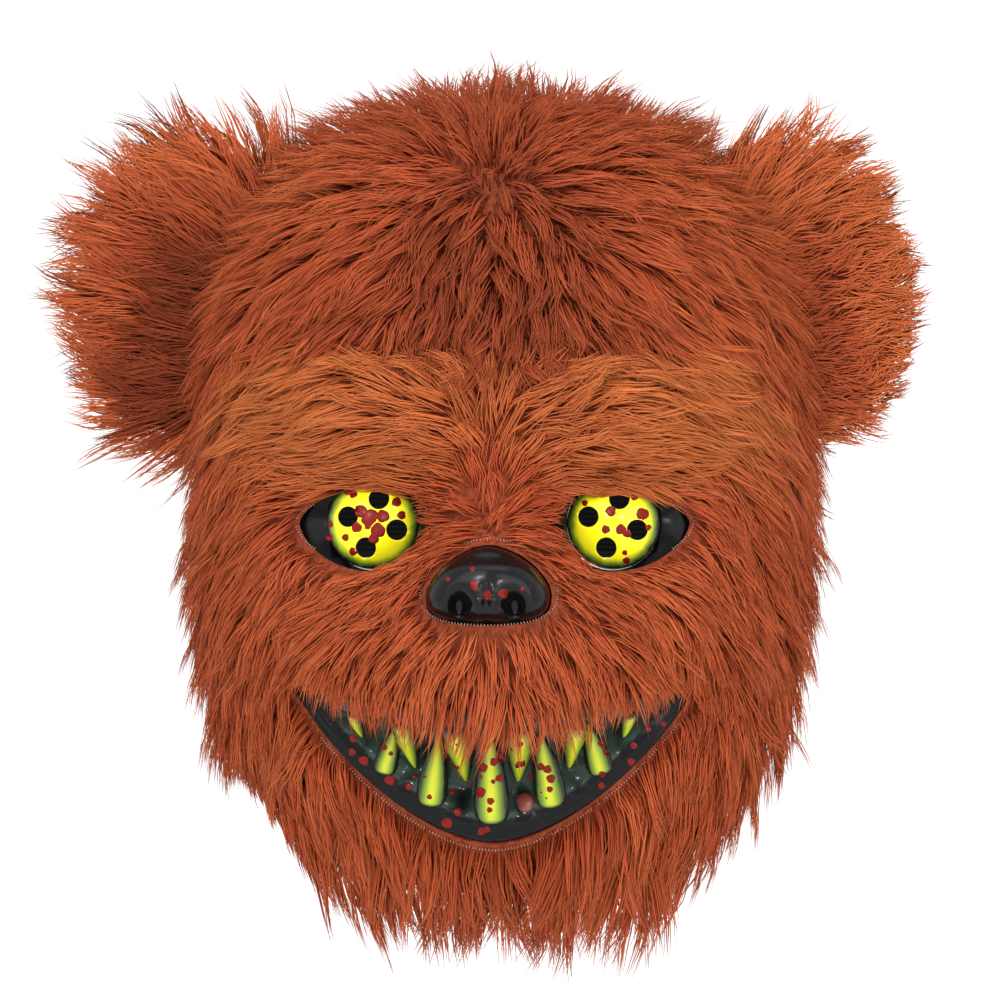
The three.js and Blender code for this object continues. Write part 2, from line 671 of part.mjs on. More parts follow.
// The backing with its openings and locks, before it is divided into panels.
function wholePlush() {
  const openings = wasm.Manifold.union([
    blockAlongY(eyeOutline(1)),
    blockAlongY(eyeOutline(-1)),
    blockAlongY(pillowOutline(NOSE, OPENING_GAP, NOSE_HEIGHT, EYE_SIDES)),
    blockAlongY(mouthOutline(-OPENING_GAP)),
  ]).intersect(frontHalf());
  const dome = filledDome(SHAPED_GAP, -EYE_SKIRT);
  const tray = trayBody(SHAPED_GAP, -TRAY_WALL - SHAPED_GAP, SHAPED_GAP);
  const sunk = wasm.Manifold.union([placedAtEye(dome, 1), placedAtEye(dome, -1), tray, ...rivetPockets()]);
  const backing = faceWall(SEAT_GAP, PILE).subtract(openings).subtract(sunk);
  const noseRoom = placedAtNose(pillow(NOSE, SHAPED_GAP, 0, NOSE_GRID));
  const fangRoom = FANGS.map((row) => fang(row, SHAPED_GAP));
  const room = wasm.Manifold.union([filledFace(SEAT_GAP), sunk, noseRoom, ...fangRoom]);
  const locks = wasm.Manifold.union([...faceLocks(), ...lipLocks(), ...chinLocks()]);
  return backing.add(locks.subtract(room));
}

function plushPanels() {
  const browEdge = (edge) =>
    BROW_EDGES.map((row) => [row.x * SHELL_HALF_WIDTH, EYE_HEIGHT + row[edge] * SHELL_CROWN_HEIGHT]);
  const chinEdge = [];
  for (let step = 0; step <= TRAY_COLUMNS / 2; step++) {
    const x = (2 * MOUTH_HALF_WIDTH * step) / TRAY_COLUMNS;
    chinEdge.push([x, lowerLip(x) + LIP_BEAD_WIDTH / 2]);
  }
  const plush = wholePlush();
  const ahead = plush.subtract(blockBehindSeam(-SEAM_GAP));
  const belowBrow = ahead.intersect(blockBeyond(browEdge("bottom"), false));
  const belowForehead = ahead.intersect(blockBeyond(browEdge("top"), false));
  const brows = belowForehead.intersect(blockBeyond(browEdge("bottom"), true));
  return {
    plush_crown: plush.intersect(blockBehindSeam(0)),
    plush_forehead: ahead.intersect(blockBeyond(browEdge("top"), true)),
    plush_brow_left: brows.intersect(sideBlock(1)),
    plush_brow_right: brows.intersect(sideBlock(-1)),
    plush_face: belowBrow.intersect(blockBeyond(chinEdge, true)),
    plush_chin: belowBrow.intersect(blockBeyond(chinEdge, false)),
  };
}

// Pieces

function faceShell() {
  const openings = wasm.Manifold.union([
    rodAlongY(EYE_RADIUS + SEAT_GAP, EYE_SPACING / 2, EYE_HEIGHT, EYE_SIDES),
    rodAlongY(EYE_RADIUS + SEAT_GAP, -EYE_SPACING / 2, EYE_HEIGHT, EYE_SIDES),
    blockAlongY(pillowOutline(NOSE, -NOSE_LEDGE, NOSE_HEIGHT, EYE_SIDES)),
    blockAlongY(mouthOutline(TRAY_FLANGE)),
  ]);
  const shell = faceWall(-SHELL_WALL, 0).subtract(openings.intersect(frontHalf()));
  return shell.subtract(rodAlongX(RIVET_RADIUS + SEAT_GAP, -FAR, FAR, rivetY(), STRAP_HEIGHT));
}

// The space under an eye dome moved out by grow, down to floor, with its skirt's foot at the origin.
function filledDome(grow, floor) {
  const radius = EYE_RADIUS + grow;
  const ball = (EYE_RADIUS ** 2 + EYE_DOME_RISE ** 2) / (2 * EYE_DOME_RISE) + grow;
  const middle = EYE_SKIRT + EYE_DOME_RISE + grow - ball;
  const steps = 3;
  const outline = [new THREE.Vector2(0, floor), new THREE.Vector2(radius, floor)];
  for (let step = steps; step > 0; step--) {
    const out = (radius * step) / steps;
    outline.push(new THREE.Vector2(out, middle + Math.sqrt(ball ** 2 - out ** 2)));
  }
  outline.push(new THREE.Vector2(0, middle + ball));
  return solidOf(new THREE.LatheGeometry(outline, EYE_SIDES).rotateX(Math.PI));
}

function eyeDome() {
  let dome = filledDome(0, 0).subtract(filledDome(-EYE_WALL, -EYE_WALL));
  for (let hole = 0; hole < EYE_HOLE_COUNT; hole++) {
    const turn = radians(EYE_HOLE_TURN + (360 * hole) / EYE_HOLE_COUNT);
    const x = EYE_HOLE_RING * Math.sin(turn);
    dome = dome.subtract(rodAlongY(EYE_HOLE_RADIUS, x, EYE_HOLE_RING * Math.cos(turn), HOLE_SIDES));
  }
  return dome;
}

// Where a dome's skirt ends behind the shell.
function eyeSeat(side) {
  const rim = frontPoint(EYE_SPACING / 2, EYE_HEIGHT).y - EYE_RIM_RISE;
  return new THREE.Vector3((side * EYE_SPACING) / 2, rim + EYE_SKIRT, EYE_HEIGHT);
}

const placedAtEye = (solid, side) => moved(solid, shiftBy(...eyeSeat(side).toArray()));

const placedAtNose = (solid) => moved(solid, shiftBy(0, frontPoint(0, NOSE_HEIGHT).y, NOSE_HEIGHT));

function nose() {
  const wall = pillow(NOSE, 0, 0, NOSE_GRID).subtract(pillow(NOSE, -NOSE_WALL, 0, NOSE_GRID));
  let body = placedAtNose(wall).subtract(filledFace(SEAT_GAP));
  const nostrilZ = NOSE_HEIGHT - NOSTRIL_DROP;
  for (const side of [-1, 1]) {
    body = body.subtract(rodAlongY(NOSTRIL_RADIUS, side * NOSTRIL_OFFSET, nostrilZ, HOLE_SIDES));
  }
  return mainBody(body);
}

// How far the mouth tray's face stands from the shell: up over the lip's bead and down into the recess.
function trayRise(x, z) {
  const fromLower = z - lowerLip(x);
  const fromUpper = upperLip(x) - z;
  const room = upperLip(x) - lowerLip(x);
  const alongBead = THREE.MathUtils.clamp(fromLower / LIP_BEAD_WIDTH, 0, 1);
  const bead = LIP_BEAD_RISE * Math.sin(Math.PI * alongBead) * Math.min(1, room / (2 * LIP_BEAD_WIDTH));
  const ramp = (distance) => THREE.MathUtils.smoothstep(distance, 0, TRAY_SLOPE);
  const recess = TRAY_RECESS * ramp(fromLower - LIP_BEAD_WIDTH) * ramp(fromUpper - TRAY_FLANGE);
  return TRAY_SEAT + TRAY_WALL + bead - recess;
}

// The tray from corner to corner, between its face moved out by front and the same face moved out by back.
function trayBody(front, back, grow = 0) {
  const rings = [];
  for (let column = 0; column <= TRAY_COLUMNS; column++) {
    const reach = MOUTH_HALF_WIDTH * TRAY_END + grow;
    const x = reach * Math.sin(Math.PI * (column / TRAY_COLUMNS - 0.5));
    const faceSide = [];
    const backSide = [];
    for (let row = 0; row <= TRAY_ROWS; row++) {
      const share = row / TRAY_ROWS;
      const crowded = share < 0.5 ? share * (TRAY_CROWDING + 2 * (1 - TRAY_CROWDING) * share) : share;
      const z = lowerLip(x) + (upperLip(x) - lowerLip(x)) * crowded;
      const spreadZ = z + grow * (2 * share - 1);
      faceSide.push(frontPoint(x, spreadZ, trayRise(x, z) + front));
      backSide.unshift(frontPoint(x, spreadZ, trayRise(x, z) + back));
    }
    rings.push([...faceSide, ...backSide]);
  }
  return bodyOfRings(rings);
}

function mouthTray() {
  const mouthHole = blockAlongY(mouthOutline(TRAY_FLANGE + SEAT_GAP));
  const shellRoom = faceWall(-SHELL_WALL - SEAT_GAP, SEAT_GAP).subtract(mouthHole);
  let tray = trayBody(0, -TRAY_WALL).subtract(shellRoom);
  for (const share of BREATHING_HOLES) {
    const x = share * MOUTH_HALF_WIDTH;
    const z = lowerLip(x) + LIP_BEAD_WIDTH + TRAY_SLOPE / 2;
    tray = tray.subtract(rodAlongY(BREATHING_HOLE_RADIUS, x, z, HOLE_SIDES));
  }
  return mainBody(tray);
}

// A fang: a flattened cone with a rounded root, leaning with the tray's floor under it.
function fang({ row, x, width, length }, grow) {
  const centre = x * MOUTH_HALF_WIDTH;
  const lowest = lowerLip(centre) + LIP_BEAD_WIDTH;
  const highest = upperLip(centre) - TRAY_FLANGE;
  const [fromZ, way] = row === "lower" ? [lowest, 1] : [highest, -1];
  const toZ = fromZ + way * (highest - lowest) * length;
  const foot = frontPoint(centre, fromZ, trayRise(centre, fromZ) + FANG_STAND_OFF);
  const point = frontPoint(centre, toZ, trayRise(centre, toZ) + FANG_STAND_OFF);
  const radius = (FANG_WIDTH * width) / 2 + 1.5 * grow;
  const tall = foot.distanceTo(point) + grow;
  const profile = [
    new THREE.Vector2(0, -grow),
    ...FANG_OUTLINE.map(({ wide, high }) => new THREE.Vector2(wide * radius, high * tall)),
    new THREE.Vector2(0, tall),
  ];
  const cone = new THREE.LatheGeometry(profile, FANG_SIDES).scale(1, 1, FANG_FLATNESS);
  const lean = new THREE.Quaternion().setFromUnitVectors(
    new THREE.Vector3(0, 1, 0),
    point.sub(foot).normalize(),
  );
  return solidOf(cone.applyQuaternion(lean).translate(...foot.toArray()));
}

// An ear in its own frame, with locks standing out round its rim, moved out by grow.
function ear(grow) {
  const locks = [];
  for (const { depth, shift } of EAR_LOCK_ROWS) {
    for (let place = 0; place < EAR_LOCKS; place++) {
      const share = (place + shift) / (EAR_LOCKS - 1) - 0.5;
      const turn = radians(EAR_LOCK_SPAN * share);
      const out = new THREE.Vector3(Math.cos(turn), 0, Math.sin(turn));
      const size = new THREE.Vector3(EAR.halfWidth * EAR_LOCK_ROOT, 0, EAR.up * EAR_LOCK_ROOT);
      const root = out.clone().multiply(size).setY(depth * EAR.front);
      const along = out.clone().add(new THREE.Vector3(EAR_LOCK_SPLAY, 0, 0)).normalize();
      const length = EAR_LOCK_LENGTH * (place % 2 ? EAR_LOCK_SHORT : 1) + grow;
      const ridge = new THREE.Vector3(0, Math.sign(depth), 0);
      const middle = root.clone().addScaledVector(along, length / 2);
      const tip = root.clone().addScaledVector(along, length);
      const thickness = EAR_LOCK_THICKNESS + 2 * grow;
      locks.push(lock(root, middle, tip, ridge, EAR_LOCK_WIDTH + 2 * grow, thickness));
    }
  }
  return wasm.Manifold.union([pillow(EAR, grow, EAR_DISH, EAR_GRID), ...locks]);
}

// The left ear where it sits, before it is cut to the head.
function placedEar(grow) {
  const place = new THREE.Matrix4().makeRotationZ(radians(EAR_SWEEP));
  place.multiply(new THREE.Matrix4().makeRotationY(radians(-EAR_LEAN)));
  place.setPosition(SHELL_HALF_WIDTH + EAR_STAND_OFF, EAR_BACK, EAR_HEIGHT);
  return moved(ear(grow), place);
}

// The strap's inner face stands this far from the mid-plane, with the strap clear of the shell over its lap.
function strapSide() {
  const heights = [-1, 1].map((end) => STRAP_HEIGHT + (end * STRAP_WIDTH) / 2);
  const reaches = heights.flatMap((z) => [-STRAP_LAP, 0].map((y) => sideReach(y, z)));
  return Math.min(...reaches) - SHELL_WALL - 2 * SEAT_GAP - STRAP_THICKNESS;
}

function strap() {
  const inner = [[strapSide(), -STRAP_LAP]];
  for (let step = 0; step <= STRAP_STEPS; step++) {
    const turn = (Math.PI * step) / STRAP_STEPS;
    const [across, back] = [Math.cos(turn), Math.sin(turn)].map((part) => bend(part, STRAP_CURVE));
    inner.push([strapSide() * across, STRAP_BACK * back]);
  }
  inner.push([-strapSide(), -STRAP_LAP]);
  const outer = inner.map(([x, y], place) => {
    const before = inner[Math.max(0, place - 1)];
    const after = inner[Math.min(inner.length - 1, place + 1)];
    const [runX, runY] = [after[0] - before[0], after[1] - before[1]];
    const reach = STRAP_THICKNESS / Math.hypot(runX, runY);
    return [x + runY * reach, y - runX * reach];
  });
  const shape = new THREE.Shape([...outer, ...inner.reverse()].map(([x, y]) => new THREE.Vector2(x, y)));
  const band = new THREE.ExtrudeGeometry(shape, { depth: STRAP_WIDTH, bevelEnabled: false });
  const solid = solidOf(band.translate(0, 0, STRAP_HEIGHT - STRAP_WIDTH / 2));
  return solid.subtract(rodAlongX(RIVET_RADIUS + SEAT_GAP, -FAR, FAR, rivetY(), STRAP_HEIGHT));
}

const rivetY = () => -STRAP_LAP + RIVET_SETBACK;

// Where a rivet's outer head starts, outside the highest part of the shell's face under it.
const rivetOuter = () => sideReach(0, STRAP_HEIGHT) + SEAT_GAP;

function rivet() {
  const inner = strapSide() - SEAT_GAP;
  const head = (fromX) =>
    rodAlongX(RIVET_HEAD_RADIUS, fromX, fromX + RIVET_HEAD_THICKNESS, rivetY(), STRAP_HEIGHT);
  const bite = RIVET_HEAD_THICKNESS / 2;
  const shank = rodAlongX(RIVET_RADIUS, inner - bite, rivetOuter() + bite, rivetY(), STRAP_HEIGHT);
  return wasm.Manifold.union([head(rivetOuter()), head(inner - RIVET_HEAD_THICKNESS), shank]);
}

// The hollows in the pile over the rivets' outer heads.
function rivetPockets() {
  const [from, to] = [rivetOuter() - PILE / 2, rivetOuter() + RIVET_HEAD_THICKNESS + SEAT_GAP];
  const radius = RIVET_HEAD_RADIUS + SEAT_GAP;
  const pocket = (fromX, toX) => rodAlongX(radius, fromX, toX, rivetY(), STRAP_HEIGHT);
  return [pocket(from, to), pocket(-to, -from)];
}

function addEyes() {
  const dome = eyeDome();
  for (const [name, side] of [["eye_left", 1], ["eye_right", -1]]) {
    addPiece(name, dome, "eye").position.copy(eyeSeat(side));
  }
}

function addFangs() {
  const tray = trayBody(SEAT_GAP, -2 * TRAY_RECESS);
  for (const row of FANGS) addPiece(row.name, mainBody(fang(row, 0).subtract(tray)), "fang");
}

function addPlush() {
  const earRoom = placedEar(SHAPED_GAP);
  const bothEars = earRoom.add(mirrored(earRoom));
  for (const [name, panel] of Object.entries(plushPanels())) {
    const finish = name.includes("brow") ? "brow" : "plush";
    addPiece(name, mainBody(panel.subtract(bothEars)), finish);
  }
}

// The left piece and its mirror image.
function addPair(name, solid, finish) {
  addPiece(`${name}_left`, solid, finish);
  addPiece(`${name}_right`, solid, finish).scale.x = -1;
}

addPiece("face_shell", faceShell(), "shell");
addEyes();
addPiece("nose", nose(), "shell");
addPiece("mouth_tray", mouthTray(), "shell");
addFangs();
addPlush();
addPair("ear", mainBody(placedEar(0).subtract(filledFace(PILE + SEAT_GAP))), "plush");
addPiece("strap", strap(), "strap");
addPair("strap_rivet", rivet(), "rivet");

export default mask;
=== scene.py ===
"""A plush bear face mask: the looks of its shell, pile, ears, eyes, nose, mouth and strap.

The size classes are in millimetres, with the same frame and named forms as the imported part: +Z up, the
face looks along -Y, left is the wearer's left and +X. Meshes are in metres.
"""
from __future__ import annotations

import logging
import math
from collections.abc import Callable
from dataclasses import dataclass, field
from enum import Enum

import bmesh
import bpy
import numpy as np
from mathutils import Matrix, Vector
from mathutils.bvhtree import BVHTree
from mathutils.kdtree import KDTree

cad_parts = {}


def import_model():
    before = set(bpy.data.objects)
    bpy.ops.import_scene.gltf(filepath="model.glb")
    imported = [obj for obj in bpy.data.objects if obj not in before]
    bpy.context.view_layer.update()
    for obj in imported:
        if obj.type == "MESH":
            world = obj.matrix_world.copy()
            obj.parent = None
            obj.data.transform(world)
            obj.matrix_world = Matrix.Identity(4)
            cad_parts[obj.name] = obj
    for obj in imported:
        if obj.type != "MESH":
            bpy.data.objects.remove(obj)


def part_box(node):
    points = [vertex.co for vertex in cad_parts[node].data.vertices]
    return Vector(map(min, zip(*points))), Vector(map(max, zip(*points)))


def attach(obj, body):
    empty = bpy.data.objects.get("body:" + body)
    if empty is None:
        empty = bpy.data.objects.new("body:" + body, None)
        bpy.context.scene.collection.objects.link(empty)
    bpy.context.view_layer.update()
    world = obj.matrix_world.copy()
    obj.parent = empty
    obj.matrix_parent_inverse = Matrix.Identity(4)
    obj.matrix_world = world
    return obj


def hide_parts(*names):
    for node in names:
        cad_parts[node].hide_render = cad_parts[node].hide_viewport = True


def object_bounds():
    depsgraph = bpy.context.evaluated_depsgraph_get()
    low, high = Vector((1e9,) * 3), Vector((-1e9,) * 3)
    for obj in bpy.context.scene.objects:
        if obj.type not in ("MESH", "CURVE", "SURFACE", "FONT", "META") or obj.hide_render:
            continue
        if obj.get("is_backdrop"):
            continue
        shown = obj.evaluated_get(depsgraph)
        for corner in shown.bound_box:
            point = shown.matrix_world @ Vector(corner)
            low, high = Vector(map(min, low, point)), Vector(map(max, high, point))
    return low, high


log = logging.getLogger("mask")
MM = 0.001
Array = np.ndarray
Colour = tuple[float, float, float]
Three = tuple[float, float, float]
Solid = bmesh.types.BMesh
Mesh = bpy.types.Mesh
Piece = bpy.types.Object
Material = bpy.types.Material
Socket = bpy.types.NodeSocket
Tree = bpy.types.NodeTree

# Every opening of the face lies in front of this y, in millimetres.
FRONT = -20.0
# Wisps stand at least this share of their spacing apart.
CLOSEST = 0.8


class Slot(Enum):
    """The record's material slots."""

    PLUSH = "plush"
    BROW = "brow_plush"
    SHELL = "shell_plastic"
    EYE = "eye_plastic"
    FANG = "fang_plastic"
    STRAP = "strap_elastic"
    RIVET = "rivet_metal"


# Mesh helpers


def link(piece: Piece) -> Piece:
    """Put an object into the scene."""
    bpy.context.scene.collection.objects.link(piece)
    return piece


def place(bm: Solid, points: Array) -> None:
    """Move every vertex to its row of points, in millimetres."""
    for vertex, point in zip(bm.verts, points):
        vertex.co = Vector(point) * MM


def finish_piece(name: str, mesh: Mesh, look: Material, slot: Slot) -> Piece:
    """Make a mesh a piece of the mask.

    Args:
        name: The piece's name.
        mesh: Its mesh, already in place.
        look: The material that it wears.
        slot: The record's slot that the finish belongs to; not used.

    Returns:
        The new object.
    """
    piece = link(bpy.data.objects.new(name, mesh))
    mesh.materials.clear()
    mesh.materials.append(look)
    mesh.polygons.foreach_set("use_smooth", np.ones(len(mesh.polygons), bool))
    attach(piece, "root")
    log.info("%s: %d faces", name, len(mesh.polygons))
    return piece


def mesh_of(name: str, bm: Solid) -> Mesh:
    """Turn a bmesh into a mesh and free it.

    Args:
        name: The name.
        bm: The mesh, which is freed.

    Returns:
        The mesh.
    """
    mesh = bpy.data.meshes.new(name)
    bm.to_mesh(mesh)
    bm.free()
    return mesh


def places_of(mesh: Mesh) -> Array:
    """Every vertex's place, in millimetres."""
    return np.array([vertex.co[:] for vertex in mesh.vertices]) / MM


def mark(mesh: Mesh, key: str, values: Array) -> None:
    """Keep one value for each vertex as a named attribute."""
    attribute = mesh.attributes.new(key, "FLOAT", "POINT")
    attribute.data.foreach_set("value", np.asarray(values, np.float32))


def close_rings(bm: Solid, rings: list[list[bmesh.types.BMVert]]) -> None:
    """Join rings of equally many vertices into a closed skin.

    Args:
        bm: The mesh to add to.
        rings: The rings, from one end to the other.
    """
    for lower, upper in zip(rings, rings[1:]):
        for side in range(len(lower)):
            after = (side + 1) % len(lower)
            bm.faces.new((lower[side], lower[after], upper[after], upper[side]))
    bm.faces.new(rings[-1])
    bm.faces.new(rings[0][::-1])


def cut(mesh: Mesh, cutters: list[Solid]) -> Mesh:
    """Cut closed blocks out of a closed mesh.

    Args:
        mesh: The mesh to cut.
        cutters: Closed blocks, which are freed.

    Returns:
        The cut mesh.
    """
    body = link(bpy.data.objects.new("cut_body", mesh))
    blocks = []
    for cutter in cutters:
        bmesh.ops.recalc_face_normals(cutter, faces=cutter.faces)
        block = link(bpy.data.objects.new("cut_block", mesh_of("cut_block", cutter)))
        blocks.append(block)
        modifier = body.modifiers.new("opening", "BOOLEAN")
        modifier.operation = "DIFFERENCE"
        modifier.solver = "EXACT"
        modifier.object = block
    depsgraph = bpy.context.evaluated_depsgraph_get()
    result = bpy.data.meshes.new_from_object(body.evaluated_get(depsgraph))
    for used in (body, *blocks):
        bpy.data.objects.remove(used)
    return result


def block_along_y(outline: Array, front: float = -300.0, back: float = FRONT) -> Solid:
    """A closed block with an outline of (x, z) rows, in millimetres, from front to back.

    Args:
        outline: The (x, z) rows.
        front: The front's y.
        back: The back's y.

    Returns:
        The block.
    """
    bm = bmesh.new()
    corners = [bm.verts.new(Vector((x, front, z)) * MM) for x, z in outline]
    face = bm.faces.new(corners)
    grown = bmesh.ops.extrude_face_region(bm, geom=[face])["geom"]
    moved = [part for part in grown if isinstance(part, bmesh.types.BMVert)]
    bmesh.ops.translate(bm, vec=Vector((0, back - front, 0)) * MM, verts=moved)
    return bm


def rod_between(start: Vector, end: Vector, radius: float, sides: int = 32) -> Solid:
    """A closed round rod between two points, in millimetres.

    Args:
        start: One end.
        end: The other end.
        radius: Its radius.
        sides: Its sides.

    Returns:
        The rod.
    """
    bm = bmesh.new()
    way = end - start
    turn = Vector((0, 0, 1)).rotation_difference(way).to_matrix().to_4x4()
    matrix = Matrix.Translation((start + end) / 2 * MM) @ turn
    bmesh.ops.create_cone(
        bm, cap_ends=True, segments=sides, radius1=radius * MM, radius2=radius * MM,
        depth=way.length * MM, matrix=matrix,
    )
    return bm


def lathe(profile: list[tuple[float, float]], axis: Vector, base: Vector, steps: int) -> Solid:
    """A turned body.

    Args:
        profile: Rows of (radius, height) in millimetres. It closes on the axis at both ends.
        axis: The way that height runs.
        base: The point at height 0, in millimetres.
        steps: Sides round the axis.

    Returns:
        The closed body.
    """
    bm = bmesh.new()
    chain = [bm.verts.new(Vector((radius, 0, height)) * MM) for radius, height in profile]
    for lower, upper in zip(chain, chain[1:]):
        bm.edges.new((lower, upper))
    bmesh.ops.spin(
        bm, geom=bm.verts[:] + bm.edges[:], cent=(0, 0, 0), axis=(0, 0, 1),
        angle=2 * math.pi, steps=steps, use_merge=True,
    )
    bmesh.ops.remove_doubles(bm, verts=bm.verts, dist=1e-7)
    bmesh.ops.recalc_face_normals(bm, faces=bm.faces)
    turn = Vector((0, 0, 1)).rotation_difference(axis).to_matrix().to_4x4()
    bmesh.ops.transform(bm, matrix=Matrix.Translation(base * MM) @ turn, verts=bm.verts)
    return bm


def walled_sheet(
    columns: int, rows: int, surface: Callable[[Array, Array, float], Array], outer: float, inner: float,
) -> Solid:
    """A closed wall between two offsets of a surface.

    Args:
        columns: Faces along the first parameter.
        rows: Faces along the second parameter.
        surface: Gives points for two arrays of parameters from 0 to 1 and an offset.
        outer: The outer side's offset.
        inner: The inner side's offset.

    Returns:
        The wall, with its faces outwards.
    """
    bm = bmesh.new()
    bmesh.ops.create_grid(bm, x_segments=columns, y_segments=rows, size=1)
    flat = np.array([vertex.co[:2] for vertex in bm.verts]) / 2 + 0.5
    under = bmesh.ops.duplicate(bm, geom=bm.verts[:] + bm.edges[:] + bm.faces[:])["geom"]
    bmesh.ops.reverse_faces(bm, faces=[part for part in under if isinstance(part, bmesh.types.BMFace)])
    place(bm, np.concatenate([surface(*flat.T, outer), surface(*flat.T, inner)]))
    bmesh.ops.remove_doubles(bm, verts=bm.verts, dist=2e-6)
    rim = [edge for edge in bm.edges if len(edge.link_faces) == 1]
    if rim:
        bmesh.ops.bridge_loops(bm, edges=rim)
    bmesh.ops.recalc_face_normals(bm, faces=bm.faces)
    return bm


def unit(vectors: Array) -> Array:
    """Each row at a length of 1."""
    return vectors / np.maximum(np.linalg.norm(vectors, axis=-1, keepdims=True), 1e-9)


def bend(value: Array, exponent: Array | float) -> Array:
    """A rounded block's sine or cosine, from a circle's."""
    return np.sign(value) * np.abs(value) ** (2 / exponent)


def ramp(value: Array, width: float) -> Array:
    """A smooth step from 0 to 1 over the width."""
    share = np.clip(value / width, 0, 1)
    return share * share * (3 - 2 * share)


def travelled(line: Array) -> Array:
    """How far along a line each of its points lies."""
    steps = np.linalg.norm(np.diff(line, axis=0), axis=1)
    return np.concatenate([[0], np.cumsum(steps)])


def at_length(line: Array, lengths: Array, wanted: Array | float) -> Array:
    """The places on a line at the wanted lengths along it."""
    return np.stack([np.interp(wanted, lengths, column) for column in line.T], axis=-1)


# The face's form


@dataclass(frozen=True)
class Mound:
    """A raised or sunk form of the face. The spreads are in millimetres."""

    rise: float
    x: float
    z: float
    spread_x: float
    spread_z: float
    steepness: float = 1.0


@dataclass(frozen=True)
class FaceForm:
    """The shell's outer surface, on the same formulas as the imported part."""

    half_width: float = 112.0
    crown: float = 161.0
    chin: float = 165.0
    depth: float = 102.0
    roundness: float = 2.5
    side_wrap: float = 92.0
    crown_wrap: float = 116.0
    chin_wrap: float = 66.0
    mounds: tuple[Mound, ...] = (
        Mound(rise=44, x=0, z=-56.5, spread_x=52.6, spread_z=48.3, steepness=1.3),
        Mound(rise=12, x=0, z=-3.3, spread_x=16.8, spread_z=24.2),
        Mound(rise=11, x=47.5, z=44.2, spread_x=34.7, spread_z=17.7),
        Mound(rise=-14, x=47.5, z=0, spread_x=24.6, spread_z=19.3),
        Mound(rise=8, x=70.4, z=-46.7, spread_x=30.2, spread_z=32.2),
        Mound(rise=12, x=0, z=-125, spread_x=40.3, spread_z=20.9),
    )

    def relief(self, x: Array, z: Array) -> Array:
        """How far the mounds lift the face towards the front.

        Args:
            x: Places across.
            z: Heights.

        Returns:
            How far, in millimetres.
        """
        rise = np.zeros(np.broadcast(x, z).shape)
        for mound in self.mounds:
            across = (np.abs(x) - mound.x) / mound.spread_x
            along = (z - mound.z) / mound.spread_z
            rise = rise + mound.rise * np.exp(-((across**2 + along**2) ** mound.steepness))
        return rise

    def level(self, x: Array, y: Array, z: Array) -> Array:
        """1 on the rounded block under the face, more outside it.

        Args:
            x: Places across.
            y: Places in depth.
            z: Heights.

        Returns:
            The level at each place.
        """
        height = np.where(z > 0, self.crown, self.chin)
        size = (np.abs(x) / self.half_width) ** self.roundness
        return size + (np.abs(y) / self.depth) ** self.roundness + (np.abs(z) / height) ** self.roundness

    def normals(self, points: Array) -> Array:
        """The outward normals at points of the surface.

        Args:
            points: Places, in millimetres.

        Returns:
            Unit vectors.
        """
        step = 0.05
        x, y, z = points[..., 0], points[..., 1], points[..., 2]

        def lifted(px: Array, py: Array, pz: Array) -> Array:
            """The level at places, with the mounds taken off."""
            return self.level(px, py + self.relief(px, pz), pz)

        slopes = [
            lifted(x + step, y, z) - lifted(x - step, y, z),
            lifted(x, y + step, z) - lifted(x, y - step, z),
            lifted(x, y, z + step) - lifted(x, y, z - step),
        ]
        return unit(np.stack(slopes, axis=-1))

    def by_angle(self, tilt: Array, bearing: Array, offset: float | Array = 0.0) -> Array:
        """Points by their angle from straight ahead and their bearing, moved out by offset.

        Args:
            tilt: Angles from straight ahead.
            bearing: Angles round the front.
            offset: How far out.

        Returns:
            The points.
        """
        out = np.sin(tilt)
        way = np.stack([out * np.cos(bearing), -np.cos(tilt), out * np.sin(bearing)], axis=-1)
        reach = self.level(way[..., 0], way[..., 1], way[..., 2]) ** (-1 / self.roundness)
        points = way * reach[..., None]
        points[..., 1] -= self.relief(points[..., 0], points[..., 2])
        return points + self.normals(points) * np.asarray(offset)[..., None]

    def by_front(self, x: Array, z: Array, offset: float | Array = 0.0) -> Array:
        """Points of the face's front at (x, z), moved out by offset.

        Args:
            x: Places across.
            z: Heights.
            offset: How far out.

        Returns:
            The points.
        """
        x, z = np.broadcast_arrays(np.asarray(x, float), np.asarray(z, float))
        rest = np.maximum(1 - self.level(x, np.zeros_like(x), z), 0)
        y = -self.depth * rest ** (1 / self.roundness) - self.relief(x, z)
        points = np.stack([x, y, z], axis=-1)
        return points + self.normals(points) * np.asarray(offset)[..., None]

    def edge_tilt(self, bearing: Array) -> Array:
        """The angle from straight ahead to the shell's edge.

        Args:
            bearing: Angles round the front.

        Returns:
            The angle, in radians.
        """
        height = np.sin(bearing)
        wrap = np.where(height > 0, self.crown_wrap, self.chin_wrap)
        return np.radians(self.side_wrap + (wrap - self.side_wrap) * height**2)

    def by_share(self, around: Array, share: Array, offset: float | Array = 0.0) -> Array:
        """Points by their share of the way round and of the way out to the shell's edge."""
        bearing = 2 * math.pi * around
        return self.by_angle(self.edge_tilt(bearing) * share, bearing, offset)

    def wall(self, inner: float, outer: float, columns: int = 112, rows: int = 48) -> Solid:
        """A closed wall over the whole face between two offsets.

        Args:
            inner: The inner offset.
            outer: The outer offset.
            columns: Faces round it.
            rows: Faces outwards.

        Returns:
            The wall.
        """
        return walled_sheet(columns, rows, self.by_share, outer, inner)


